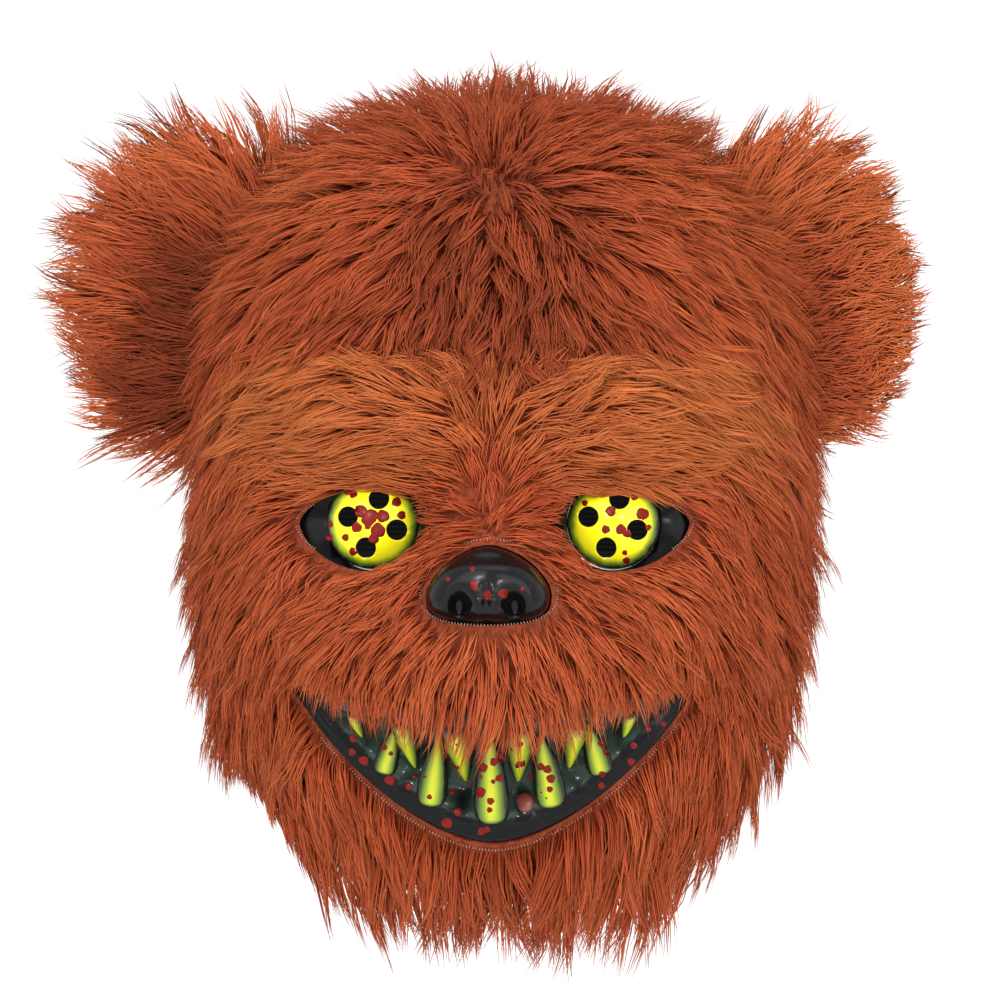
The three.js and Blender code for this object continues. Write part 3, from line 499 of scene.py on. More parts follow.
@dataclass(frozen=True)
class Mouth:
    """The grin's outline and the tray's relief."""

    half_width: float = 80.0
    corner: float = -64.0
    lower_drop: float = 61.0
    upper_drop: float = 8.0
    bulge: float = 1.8
    tray_end: float = 0.965
    wall: float = 1.6
    seat: float = 0.8
    bead_width: float = 9.0
    bead_rise: float = 3.5
    recess: float = 11.0
    slope: float = 7.0
    flange: float = 4.5
    groove_depth: float = 1.1
    groove_place: float = 0.62
    groove_width: float = 0.1
    breathing: tuple[float, ...] = (-0.11, 0.13)
    breathing_radius: float = 2.0

    def lower(self, x: Array) -> Array:
        """The height of the lower lip's edge."""
        return self.corner - self.lower_drop * (1 - np.minimum(np.abs(x) / self.half_width, 1) ** self.bulge)

    def upper(self, x: Array) -> Array:
        """The height of the upper lip's edge."""
        return self.corner - self.upper_drop * (1 - (np.asarray(x) / self.half_width) ** 2)

    def outline(self, inset: float, steps: int = 48) -> Array:
        """The grin's outline as (x, z) rows, moved in by inset.

        Args:
            inset: How far in.
            steps: How many rows.

        Returns:
            The rows.
        """
        reach = self.half_width * self.tray_end - 2 * inset
        x = reach * np.linspace(-1, 1, steps)
        low, high = self.lower(x) + inset, self.upper(x) - inset
        open_ = high - low > 0.3
        lower = np.stack([x[open_], low[open_]], axis=-1)
        upper = np.stack([x[open_], high[open_]], axis=-1)[::-1]
        return np.concatenate([lower, upper])

    def rise(self, x: Array, z: Array) -> Array:
        """How far the tray's face stands from the shell: up over the lip's double bead, down in the recess.

        Args:
            x: Places across.
            z: Heights.

        Returns:
            How far, in millimetres.
        """
        from_lower = z - self.lower(x)
        from_upper = self.upper(x) - z
        room = self.upper(x) - self.lower(x)
        along = np.clip(from_lower / self.bead_width, 0, 1)
        narrowing = np.minimum(1, room / (2 * self.bead_width))
        bead = self.bead_rise * np.sin(math.pi * along) * narrowing
        off_groove = (along - self.groove_place) / self.groove_width
        groove = self.groove_depth * np.exp(-(off_groove**2)) * narrowing
        recess = self.recess * ramp(from_lower - self.bead_width, self.slope)
        recess = recess * ramp(from_upper - self.flange, self.slope)
        return self.seat + self.wall + bead - groove - recess


@dataclass(frozen=True)
class EyeForm:
    """An eye dome and the plush's opening round it."""

    spacing: float = 95.0
    height: float = 0.0
    radius: float = 18.4
    dome_rise: float = 8.0
    rim_rise: float = 8.0
    skirt: float = 21.0
    wall: float = 1.6
    hole_radius: float = 4.1
    hole_ring: float = 10.0
    holes: int = 4
    hole_turn: float = 15.0
    outer: float = 30.0
    inner: float = 25.0
    top: float = 14.0
    bottom: float = 19.0
    point: float = 0.25

    @property
    def ball(self) -> float:
        """The radius of the ball that the dome is cut from."""
        return (self.radius**2 + self.dome_rise**2) / (2 * self.dome_rise)

    def rim_y(self) -> float:
        """The y of the dome's rim."""
        return float(FACE.by_front(self.spacing / 2, self.height)[1]) - self.rim_rise

    def outline(self, side: int, grow: float = 0.0, steps: int = 40, least: float = 0.0) -> Array:
        """The plush's opening as (x, z) rows: an almond, longer towards its outer corner.

        Args:
            side: 1 for the left eye, -1 for the right one.
            grow: How far the outline moves out.
            steps: How many rows.
            least: The nearest that the outline may come to the eye's middle.

        Returns:
            The rows.
        """
        turn = np.linspace(0, 2 * math.pi, steps, endpoint=False)
        across = (np.where(np.cos(turn) > 0, self.outer, self.inner) + grow) * np.cos(turn)
        up = (np.where(np.sin(turn) > 0, self.top, self.bottom) + grow) * np.sin(turn)
        up = up * np.abs(np.sin(turn)) ** self.point
        push = np.maximum(1, least / np.hypot(across, up))
        return np.stack([side * (self.spacing / 2 + across * push), self.height + up * push], axis=-1)


@dataclass(frozen=True)
class NoseForm:
    """The nose: a rounded triangle with a flat foot."""

    height: float = -28.0
    half_width: float = 24.0
    up: float = 19.0
    down: float = 11.0
    front: float = 17.0
    top_roundness: float = 1.65
    foot_roundness: float = 2.9
    fullness: float = 0.6
    wall: float = 1.6
    nostril_x: float = 10.6
    nostril_z: float = -32.0
    nostril_wide: float = 3.5
    nostril_tall: float = 4.6
    nostril_depth: float = 9.0

    def outline(self, grow: float, steps: int = 48) -> Array:
        """The nose's outline as (x, z) rows, moved out by grow."""
        turn = np.linspace(0, 2 * math.pi, steps, endpoint=False)
        return np.stack(self.edge(turn, grow), axis=-1)

    def edge(self, turn: Array, grow: float) -> tuple[Array, Array]:
        """The outline's x and z at angles round it.

        Args:
            turn: Angles round it.
            grow: How far out.

        Returns:
            The x and the z.
        """
        above = np.sin(turn) > 0
        height = np.where(above, self.up, self.down) + grow
        roundness = np.where(above, self.top_roundness, self.foot_roundness)
        x = (self.half_width + grow) * bend(np.cos(turn), roundness)
        return x, self.height + height * bend(np.sin(turn), roundness)


FACE = FaceForm()
MOUTH = Mouth()
EYE = EyeForm()
NOSE = NoseForm()


def inside(outline: Array, x: Array, z: Array) -> Array:
    """Which of the points (x, z) lie inside an outline.

    Args:
        outline: The (x, z) rows.
        x: Places across.
        z: Heights.

    Returns:
        True for each point inside.
    """
    within = np.zeros(x.shape, bool)
    for (ax, az), (bx, bz) in zip(outline, np.roll(outline, -1, axis=0)):
        crossing = (az > z) != (bz > z)
        reach = ax + (z - az) * (bx - ax) / (bz - az if bz != az else 1e-9)
        within ^= crossing & (x < reach)
    return within


# Finishes


class Nodes:
    """Short calls for making shader nodes in one tree."""

    def __init__(self, tree: Tree) -> None:
        """Keep the tree."""
        self.tree = tree

    def add(self, kind: str, **settings: object) -> bpy.types.Node:
        """A new node with its settings.

        Args:
            kind: The node's type.
            settings: Its properties.

        Returns:
            The node.
        """
        node = self.tree.nodes.new(kind)
        for key, value in settings.items():
            setattr(node, key, value)
        return node

    def feed(self, target: Socket, source: object) -> None:
        """Set a socket to a value, or link it from another socket.

        Args:
            target: The socket to feed.
            source: A value or a socket.
        """
        if isinstance(source, Socket):
            self.tree.links.new(source, target)
        elif isinstance(source, tuple) and len(source) == 3 and target.type == "RGBA":
            target.default_value = (*source, 1.0)
        else:
            target.default_value = source

    def math(self, operation: str, *sources: object, clamp: bool = False) -> Socket:
        """A Math node's result.

        Args:
            operation: What it works out.
            sources: Values or sockets.
            clamp: Whether it stays from 0 to 1.

        Returns:
            The result's socket.
        """
        node = self.add("ShaderNodeMath", operation=operation, use_clamp=clamp)
        for target, source in zip(node.inputs, sources):
            self.feed(target, source)
        return node.outputs[0]

    def mix(self, share: object, first: object, second: object, blend: str = "MIX") -> Socket:
        """A colour mixed from two.

        Args:
            share: How much of the second.
            first: A colour.
            second: Another colour.
            blend: How they mix.

        Returns:
            The colour's socket.
        """
        node = self.add("ShaderNodeMix", data_type="RGBA", blend_type=blend)
        self.feed(node.inputs[0], share)
        self.feed(node.inputs[6], first)
        self.feed(node.inputs[7], second)
        return node.outputs[2]

    def spread(
        self, value: object, low: float, high: float, to_low: float = 0.0, to_high: float = 1.0
    ) -> Socket:
        """A value carried from one range to another, clamped.

        Args:
            value: The value.
            low: Its low end.
            high: Its high end.
            to_low: What the low end becomes.
            to_high: What the high end becomes.

        Returns:
            The value's socket.
        """
        node = self.add("ShaderNodeMapRange")
        for target, source in zip(node.inputs, (value, low, high, to_low, to_high)):
            self.feed(target, source)
        return node.outputs[0]

    def noise(self, place_: object, scale: float, detail: float, stretch: Three | None = None) -> Socket:
        """A noise value over a place, stretched along an axis if asked.

        Args:
            place_: The place.
            scale: Its features to a metre.
            detail: Its octaves.
            stretch: Its stretch along each axis.

        Returns:
            The value's socket.
        """
        if stretch is not None:
            mapping = self.add("ShaderNodeMapping")
            self.feed(mapping.inputs["Vector"], place_)
            mapping.inputs["Scale"].default_value = stretch
            place_ = mapping.outputs[0]
        node = self.add("ShaderNodeTexNoise")
        self.feed(node.inputs["Vector"], place_)
        node.inputs["Scale"].default_value = scale
        node.inputs["Detail"].default_value = detail
        return node.outputs["Fac"]

    def dress(self, shader: bpy.types.Node, colour: object, roughness: object, normal: object = None) -> None:
        """Feed a shader's main sockets.

        Args:
            shader: The shader.
            colour: Its colour.
            roughness: Its roughness.
            normal: Its normal, if it has one of its own.
        """
        self.feed(shader.inputs["Base Color"], colour)
        self.feed(shader.inputs["Roughness"], roughness)
        if normal is not None:
            self.feed(shader.inputs["Normal"], normal)

    def where(self) -> Socket:
        """Object coordinates."""
        return self.add("ShaderNodeTexCoord").outputs["Object"]

    def attribute(self, name: str) -> Socket:
        """The value of a mesh attribute."""
        return self.add("ShaderNodeAttribute", attribute_name=name).outputs["Fac"]

    def bump(self, height: object, strength: float, distance: float) -> Socket:
        """A bumped normal.

        Args:
            height: The height.
            strength: How strong it is.
            distance: The height of 1, in metres.

        Returns:
            The normal's socket.
        """
        node = self.add("ShaderNodeBump")
        node.inputs["Strength"].default_value = strength
        node.inputs["Distance"].default_value = distance
        self.feed(node.inputs["Height"], height)
        return node.outputs[0]


def new_group(name: str, inputs: dict[str, object], outputs: dict[str, str]) -> tuple[Nodes, object, object]:
    """A shader node group with named sockets.

    Args:
        name: The group's name.
        inputs: Each input's name and default: a number or a colour.
        outputs: Each output's name and socket type.

    Returns:
        The group's nodes, its input node and its output node.
    """
    tree = bpy.data.node_groups.new(name, "ShaderNodeTree")
    for key, default in inputs.items():
        kind = "NodeSocketColor" if isinstance(default, tuple) else "NodeSocketFloat"
        socket = tree.interface.new_socket(name=key, in_out="INPUT", socket_type=kind)
        socket.default_value = (*default, 1.0) if isinstance(default, tuple) else default
    for key, kind in outputs.items():
        tree.interface.new_socket(name=key, in_out="OUTPUT", socket_type=kind)
    nodes = Nodes(tree)
    return nodes, nodes.add("NodeGroupInput"), nodes.add("NodeGroupOutput")


def pile_group() -> Tree:
    """Colour of combed pile: painted shade darkens the roots and painted light lightens the tips, and each
    wisp and strand is a little different.

    Returns:
        The node group.
    """
    nodes, given, result = new_group(
        "combed_pile",
        {"Root": (0.1, 0.02, 0.01), "Middle": (0.4, 0.1, 0.03), "Tip": (0.6, 0.2, 0.06), "Spread": 1.0},
        {"Colour": "NodeSocketColor", "Roughness": "NodeSocketFloat", "Normal": "NodeSocketVector"},
    )
    along = nodes.attribute("along")
    tone = nodes.attribute("tone")
    # Root to tip: the Root colour is painted shade deep in the pile and the Tip colour is painted light on
    # its surface.
    lower = nodes.spread(along, 0.12, 0.5)
    upper = nodes.spread(along, 0.4, 1.0)
    rooted = nodes.mix(lower, given.outputs["Root"], given.outputs["Middle"])
    base = nodes.mix(upper, rooted, given.outputs["Tip"])
    patches = nodes.noise(nodes.where(), 28.0, 3.0)
    shift = nodes.math("MULTIPLY_ADD", nodes.math("SUBTRACT", patches, 0.5), 0.5, tone)
    hair = nodes.add("ShaderNodeCombineXYZ")
    nodes.feed(hair.inputs[0], nodes.math("MULTIPLY_ADD", tone, 41.0, nodes.attribute("across")))
    nodes.feed(hair.inputs[1], nodes.math("MULTIPLY", along, 0.6))
    nodes.feed(hair.inputs[2], nodes.math("MULTIPLY", tone, 17.0))
    streak = nodes.math("SUBTRACT", nodes.noise(hair.outputs[0], 2.6, 1.0), 0.5)
    shift = nodes.math("MULTIPLY_ADD", streak, 0.4, shift)
    shift = nodes.math("MULTIPLY", shift, given.outputs["Spread"])
    # shift is partly random tone and partly painted light and shade from the ears' tones; bright and dark
    # carry it into the colour.
    bright = nodes.mix(nodes.spread(shift, 0.0, 0.75, 0.0, 0.55), base, (0.75, 0.22, 0.06))
    dark = nodes.spread(shift, -0.9, 0.0, 0.62, 0.0)
    nodes.feed(result.inputs["Colour"], nodes.mix(dark, bright, (0.09, 0.016, 0.006)))
    nodes.feed(result.inputs["Roughness"], nodes.spread(shift, -0.8, 0.8, 0.62, 0.42))
    own = nodes.add("ShaderNodeNewGeometry").outputs["Normal"]
    lie = nodes.add("ShaderNodeAttribute", attribute_name="lie").outputs["Vector"]
    facing = nodes.add("ShaderNodeVectorMath", operation="DOT_PRODUCT")
    nodes.feed(facing.inputs[0], own)
    nodes.feed(facing.inputs[1], lie)
    blend = nodes.add("ShaderNodeMix", data_type="VECTOR")
    nodes.feed(blend.inputs[0], nodes.spread(facing.outputs["Value"], -0.5, 0.0, 0.0, 0.88))
    nodes.feed(blend.inputs[4], own)
    nodes.feed(blend.inputs[5], lie)
    even = nodes.add("ShaderNodeVectorMath", operation="NORMALIZE")
    nodes.feed(even.inputs[0], blend.outputs[1])
    nodes.feed(result.inputs["Normal"], even.outputs[0])
    return nodes.tree


def scuff_group() -> Tree:
    """Handling marks on gloss plastic: fine specks of dust and a slightly uneven skin.

    Returns:
        The node group.
    """
    nodes, given, result = new_group(
        "plastic_skin",
        {"Gloss": 0.15, "Dull": 0.35, "Specks": 1.0},
        {"Roughness": "NodeSocketFloat", "Height": "NodeSocketFloat", "Dust": "NodeSocketFloat"},
    )
    where = nodes.where()
    cloud = nodes.noise(where, 45.0, 4.0)
    specks = nodes.spread(nodes.noise(where, 900.0, 1.0), 0.7, 0.78)
    dust = nodes.math("MULTIPLY", specks, given.outputs["Specks"], clamp=True)
    mixed = nodes.spread(cloud, 0.35, 0.7)
    rough = nodes.add("ShaderNodeMix", data_type="FLOAT")
    nodes.feed(rough.inputs[0], mixed)
    nodes.feed(rough.inputs[2], given.outputs["Gloss"])
    nodes.feed(rough.inputs[3], given.outputs["Dull"])
    nodes.feed(result.inputs["Roughness"], nodes.math("ADD", rough.outputs[0], dust, clamp=True))
    nodes.feed(result.inputs["Height"], cloud)
    nodes.feed(result.inputs["Dust"], dust)
    return nodes.tree


@dataclass(frozen=True)
class Finish:
    """A material: its name and the constants of its shader."""

    name: str
    specular: float = 0.5
    metallic: float = 0.0

    def start(self) -> tuple[Material, Nodes, bpy.types.Node]:
        """A new material with its shader's constants.

        Returns:
            The material, its nodes and its shader.
        """
        material = bpy.data.materials.new(self.name)
        material.use_nodes = True
        shader = material.node_tree.nodes["Principled BSDF"]
        shader.inputs["Specular IOR Level"].default_value = self.specular
        shader.inputs["Metallic"].default_value = self.metallic
        return material, Nodes(material.node_tree), shader


@dataclass(frozen=True)
class PileFinish(Finish):
    """Combed acrylic pile."""

    # The dark root colour is painted shade deep in the pile, and the light tip colour is painted light.
    root: Colour = (0.33, 0.046, 0.013)
    middle: Colour = (0.455, 0.078, 0.026)
    tip: Colour = (0.53, 0.107, 0.036)
    spread: float = 1.0

    def build(self, group: Tree) -> Material:
        """The material, on the shared pile group.

        Args:
            group: The shared node group.

        Returns:
            The material.
        """
        material, nodes, shader = self.start()
        pile = nodes.add("ShaderNodeGroup", node_tree=group)
        tones = {"Root": self.root, "Middle": self.middle, "Tip": self.tip, "Spread": self.spread}
        for key, value in tones.items():
            nodes.feed(pile.inputs[key], value)
        nodes.dress(shader, *(pile.outputs[key] for key in ("Colour", "Roughness", "Normal")))
        return material


@dataclass(frozen=True)
class MottledFinish(Finish):
    """Two shades mixed by fine noise, and bumped by it if asked: knitted backing, enamel and thread."""

    colour: Colour = (0.23, 0.007, 0.005)
    shade: Colour = (0.11, 0.004, 0.003)
    scale: float = 160.0
    detail: float = 2.0
    stretch: Three | None = None
    contrast: tuple[float, float] = (0.0, 1.0)
    roughness: float = 0.22
    bump: tuple[float, float] | None = None

    def build(self) -> Material:
        """The material.

        Returns:
            The material.
        """
        material, nodes, shader = self.start()
        fibre = nodes.noise(nodes.where(), self.scale, self.detail, self.stretch)
        colour = nodes.mix(nodes.spread(fibre, *self.contrast), self.colour, self.shade)
        nodes.dress(shader, colour, self.roughness, nodes.bump(fibre, *self.bump) if self.bump else None)
        return material


@dataclass(frozen=True)
class PlasticFinish(Finish):
    """Gloss black plastic, tinted green grey where the attribute tint is above 0."""

    colour: Colour = (0.003, 0.003, 0.004)
    tint: Colour = (0.03, 0.055, 0.04)
    gloss: float = 0.12
    dull: float = 0.26
    specks: float = 0.35

    def build(self, group: Tree) -> Material:
        """The material, on the shared plastic skin.

        Args:
            group: The shared node group.

        Returns:
            The material.
        """
        material, nodes, shader = self.start()
        skin = nodes.add("ShaderNodeGroup", node_tree=group)
        for key, value in (("Gloss", self.gloss), ("Dull", self.dull), ("Specks", self.specks)):
            nodes.feed(skin.inputs[key], value)
        base = nodes.mix(nodes.attribute("tint"), self.colour, self.tint)
        dusty = nodes.math("MULTIPLY", skin.outputs["Dust"], 0.25)
        colour = nodes.mix(dusty, base, (0.2, 0.19, 0.18))
        uneven = nodes.bump(skin.outputs["Height"], 0.25, 0.0006)
        nodes.dress(shader, colour, skin.outputs["Roughness"], uneven)
        return material


@dataclass(frozen=True)
class PaintFinish(Finish):
    """Yellow paint on plastic that turns green and then black where the attribute edge nears 1."""

    yellow: Colour = (0.88, 0.8, 0.012)
    green: Colour = (0.16, 0.26, 0.02)
    black: Colour = (0.01, 0.013, 0.008)
    turn: Three = (0.62, 0.8, 0.97)

    def build(self, group: Tree) -> Material:
        """The material, on the shared plastic skin.

        Args:
            group: The shared node group.

        Returns:
            The material.
        """
        material, nodes, shader = self.start()
        skin = nodes.add("ShaderNodeGroup", node_tree=group)
        for key, value in (("Gloss", 0.1), ("Dull", 0.2), ("Specks", 0.2)):
            nodes.feed(skin.inputs[key], value)
        ragged = nodes.math("SUBTRACT", nodes.noise(nodes.where(), 260.0, 3.0), 0.5)
        edge = nodes.math("MULTIPLY_ADD", ragged, 0.12, nodes.attribute("edge"))
        start, middle, end = self.turn
        greened = nodes.mix(nodes.spread(edge, start, middle), self.yellow, self.green)
        blackened = nodes.mix(nodes.spread(edge, middle, end), greened, self.black)
        uneven = nodes.bump(skin.outputs["Height"], 0.2, 0.0004)
        nodes.dress(shader, blackened, skin.outputs["Roughness"], uneven)
        return material


@dataclass(frozen=True)
class ElasticFinish(Finish):
    """Black woven elastic, ribbed along its length by its own UV map."""

    ribs: int = 14
    wefts: int = 210
    colour: Colour = (0.012, 0.012, 0.013)
    light: Colour = (0.02, 0.02, 0.022)

    def build(self) -> Material:
        """The material.

        Returns:
            The material.
        """
        material, nodes, shader = self.start()
        uv = nodes.add("ShaderNodeUVMap", uv_map="band").outputs[0]
        axes = nodes.add("ShaderNodeSeparateXYZ")
        nodes.feed(axes.inputs[0], uv)
        rib = nodes.math("SINE", nodes.math("MULTIPLY", axes.outputs[1], 2 * math.pi * self.ribs))
        weft = nodes.math("SINE", nodes.math("MULTIPLY", axes.outputs[0], 2 * math.pi * self.wefts))
        weave = nodes.math("MULTIPLY_ADD", weft, 0.5, rib)
        shade = nodes.spread(weave, -1.5, 1.5)
        colour = nodes.mix(shade, self.colour, self.light)
        nodes.dress(shader, colour, 0.8, nodes.bump(weave, 0.4, 0.0004))
        return material


@dataclass(frozen=True)
class MetalFinish(Finish):
    """Plain pressed steel."""

    colour: Colour = (0.55, 0.55, 0.56)

    def build(self) -> Material:
        """The material.

        Returns:
            The material.
        """
        material, nodes, shader = self.start()
        grain = nodes.noise(nodes.where(), 1200.0, 2.0, stretch=(0.2, 1.0, 1.0))
        worn = nodes.mix(nodes.spread(grain, 0.2, 0.8, 0.0, 0.4), self.colour, (0.3, 0.3, 0.3))
        nodes.dress(shader, worn, nodes.spread(grain, 0.2, 0.8, 0.25, 0.45))
        return material


class Wardrobe:
    """Every finish of the mask, built once."""

    def __init__(self) -> None:
        """Build the shared groups and the materials."""
        pile = pile_group()
        skin = scuff_group()
        # In both piles the root colour is painted shade and the tip colour is painted light.
        self.plush = PileFinish("plush_pile", specular=0.07).build(pile)
        self.brow = PileFinish(
            "brow_pile", specular=0.07, root=(0.4, 0.07, 0.02),
            middle=(0.47, 0.102, 0.028), tip=(0.57, 0.15, 0.044),
        ).build(pile)
        # The backing is a real knitted sheet, darkened to the colour of shaded pile: painted shade between
        # the roots.
        self.backing = MottledFinish(
            "plush_backing", specular=0.2, colour=(0.14, 0.025, 0.009), shade=(0.27, 0.05, 0.017),
            scale=420.0, detail=3.0, stretch=(1.0, 1.0, 0.35), contrast=(0.3, 0.7), roughness=0.9,
            bump=(0.9, 0.002),
        ).build()
        self.shell = PlasticFinish("shell_gloss_black", specular=0.1).build(skin)
        self.nose = PlasticFinish("nose_gloss_black", specular=0.2).build(skin)
        self.tray = PlasticFinish("mouth_gloss_black", specular=0.15, gloss=0.08, dull=0.14).build(skin)
        self.eye = PaintFinish("eye_yellow_paint", specular=0.3, turn=(0.77, 0.88, 0.96)).build(skin)
        self.fang = PaintFinish(
            "fang_yellow_paint", specular=0.3, yellow=(0.48, 0.5, 0.02), turn=(0.12, 0.46, 0.78),
        ).build(skin)
        self.spots = MottledFinish("red_enamel", specular=0.15).build()
        self.bead = MottledFinish(
            "dull_pink_enamel", specular=0.3, colour=(0.3, 0.09, 0.07), shade=(0.13, 0.03, 0.025),
        ).build()
        self.thread = MottledFinish(
            "edge_thread", specular=0.2, colour=(0.5, 0.38, 0.3), shade=(0.25, 0.14, 0.1),
            scale=1500.0, roughness=0.85, bump=(0.6, 0.0003),
        ).build()
        self.strap = ElasticFinish("strap_elastic", specular=0.08).build()
        self.rivet = MetalFinish("rivet_steel", metallic=1.0).build()


# Pile


@dataclass(frozen=True)
class Guide:
    """The way the pile lies at one place: where it points, its length, uprightness and shade.

    y and to_y are given only at the sides and the back. Otherwise the place is on the face's front.
    """

    x: float
    z: float
    to_x: float
    to_z: float
    length: float = 30.0
    stand: float = 0.25
    tone: float = 0.0
    y: float | None = None
    to_y: float = 0.0


def guides(*rows: tuple[float, ...]) -> tuple[Guide, ...]:
    """A short chart of guides, one row each in the order of their values."""
    return tuple(Guide(*row) for row in rows)


GUIDES = guides(
    # Crown and forehead
    (0, 168, 0, 1, 34, 0.6, -0.1, -6, 0.5),
    (38, 164, 0.45, 0.9, 34, 0.6, -0.05, -8, 0.3),
    (72, 146, 0.7, 0.75, 52, 0.7, 0.1, -4, 0.05),
    (92, 122, 0.6, 0.85, 58, 0.65, 0.1, -4, 0.05),
    (0, 149, 0, 0.6, 28, 0.4, -0.5),
    (22, 150, 0.8, 0.5, 28, 0.4, -0.25),
    (60, 134, 1, -0.15, 30, 0.4, 0.25),
    (38, 129, 0.8, -0.5, 32, 0.3, -0.05),
    (50, 106, 0.6, -0.8, 34, 0.25, -0.05),
    (14, 116, 0.2, -0.95, 34, 0.3, -0.6),
    (14, 92, 0.1, -1, 34, 0.3, -0.72),
    (42, 84, 0.5, -0.8, 32, 0.25, -0.35),
    (0, 69, 0, -1, 26, 0.4, -0.65),
    (28, 72, 0.25, -0.95, 26, 0.3, -0.6),
    (88, 123, 0.5, -0.85, 32, 0.35, 0.2),
    (80, 84, 0.55, -0.8, 32, 0.3, 0.12),
    (104, 70, 0.3, -0.9, 34, 0.3, 0),
    # Brows
    (6, 40, 0.5, 0.85, 26, 0.2, -0.1),
    (14, 28, 0.85, 0.5, 26, 0.2, 0.1),
    (24, 48, 0.9, 0.4, 28, 0.2, 0.2),
    (45, 54, 1, 0.08, 30, 0.18, 0.4),
    (45, 34, 1, 0, 30, 0.15, 0.35),
    (38, 18, 1, -0.05, 26, 0.1, 0.15),
    (66, 20, 1, -0.15, 26, 0.12, 0.15),
    (72, 50, 1, -0.25, 32, 0.2, 0.4),
    (92, 40, 0.8, -0.55, 32, 0.25, 0.25),
    (106, 34, 0.45, -0.85, 34, 0.3, 0.1),
    # Nose bridge and round the eyes
    (0, 14, 0.3, 0.9, 22, 0.12, -0.25),
    (12, 6, 1, 0.3, 19, 0.1, -0.2),
    (18, -6, 0.95, -0.3, 17, 0.1, -0.1),
    (30, -18, 0.75, -0.6, 17, 0.12, 0),
    (30, -34, 0.6, -0.8, 22, 0.15, 0),
    (50, -22, 0.7, -0.7, 20, 0.12, 0.1),
    (84, 4, 0.6, -0.75, 24, 0.2, 0),
    (80, -18, 0.55, -0.8, 26, 0.2, 0),
    # Cheeks and muzzle
    (62, -36, 0.55, -0.8, 26, 0.2, 0.1),
    (88, -42, 0.45, -0.9, 30, 0.25, 0),
    (112, -30, 0.3, -0.95, 36, 0.25, 0),
    (104, -64, 0.25, -0.97, 36, 0.22, 0),
    (0, -48, 0, -1, 22, 0.25, 0.1),
    (22, -52, 0.2, -1, 25, 0.25, 0.15),
    (0, -66, 0, -1, 40, 0.2, 0.1),
    (24, -65, 0.12, -0.99, 38, 0.2, 0.1),
    (46, -62, 0.25, -0.96, 32, 0.2, 0.1),
    (64, -54, 0.4, -0.9, 28, 0.2, 0.05),
    (76, -60, 0.4, -0.9, 22, 0.2, -0.1),
    (88, -84, -0.05, -1, 32, 0, 0.05),
    (70, -112, -0.15, -1, 34, 0, 0.05),
    (40, -136, 0.08, -1, 38, 0.2, 0),
    (0, -138, 0, -1, 40, 0.2, 0),
    # Sides, back edge and beard
    (116, 40, 0.1, -0.8, 34, 0.3, -0.1, -10, 0.35),
    (116, -10, 0.12, -0.95, 36, 0.25, -0.05, -10, 0.25),
    (112, -60, -0.1, -1, 34, 0.05, 0, -10, 0.2),
    (86, -120, -0.5, -1, 30, 0, -0.05, -20, 0.1),
    (46, -150, -0.1, -1, 46, 0.2, -0.05, -45, 0.05),
    (0, -154, 0, -1, 66, 0.2, -0.05, -50, 0),
    (0, 158, 0, 0, 32, 0.35, -0.1, 30, 1),
    (60, 140, 0.3, -0.1, 32, 0.35, -0.1, 30, 1),
    (100, 90, 0.2, -0.6, 32, 0.3, -0.1, 25, 0.8),
)


@dataclass
class Roots:
    """Where wisps start: their places, normals, combing, lengths, uprightness and shades."""

    points: Array
    normals: Array
    comb: Array
    length: Array
    stand: Array
    tone: Array

    def chosen(self, mask: Array) -> Roots:
        """Only the rows that the mask keeps."""
        kept = (self.points, self.normals, self.comb, self.length, self.stand, self.tone)
        return Roots(*(values[mask] for values in kept))


def even_places(points: Array, spacing: float, rng: np.random.Generator) -> Array:
    """Which points to keep so that no two are nearer than the spacing.

    Args:
        points: Places, in millimetres.
        spacing: The least distance.
        rng: The random draws.

    Returns:
        The kept points' numbers.
    """
    tree = KDTree(len(points))
    for number, point in enumerate(points):
        tree.insert(point, number)
    tree.balance()
    free = np.ones(len(points), bool)
    kept = []
    for number in rng.permutation(len(points)):
        if free[number]:
            kept.append(number)
            for _, near, _ in tree.find_range(points[number], spacing):
                free[near] = False
    return np.array(sorted(kept))


def drift(points: Array, scale: float, rng: np.random.Generator, waves: int = 6) -> Array:
    """Smooth noise from about -1 to 1 over the points, with features of about the scale.

    Args:
        points: Places, in millimetres.
        scale: The size of its features.
        rng: The random draws.
        waves: How many waves it adds.

    Returns:
        A value for each point.
    """
    total = np.zeros(len(points))
    for _ in range(waves):
        way = unit(rng.normal(size=3)) * rng.uniform(0.6, 1.6) * 2 * math.pi / scale
        total += np.sin(points @ way + rng.uniform(0, 2 * math.pi))
    return total / math.sqrt(waves)


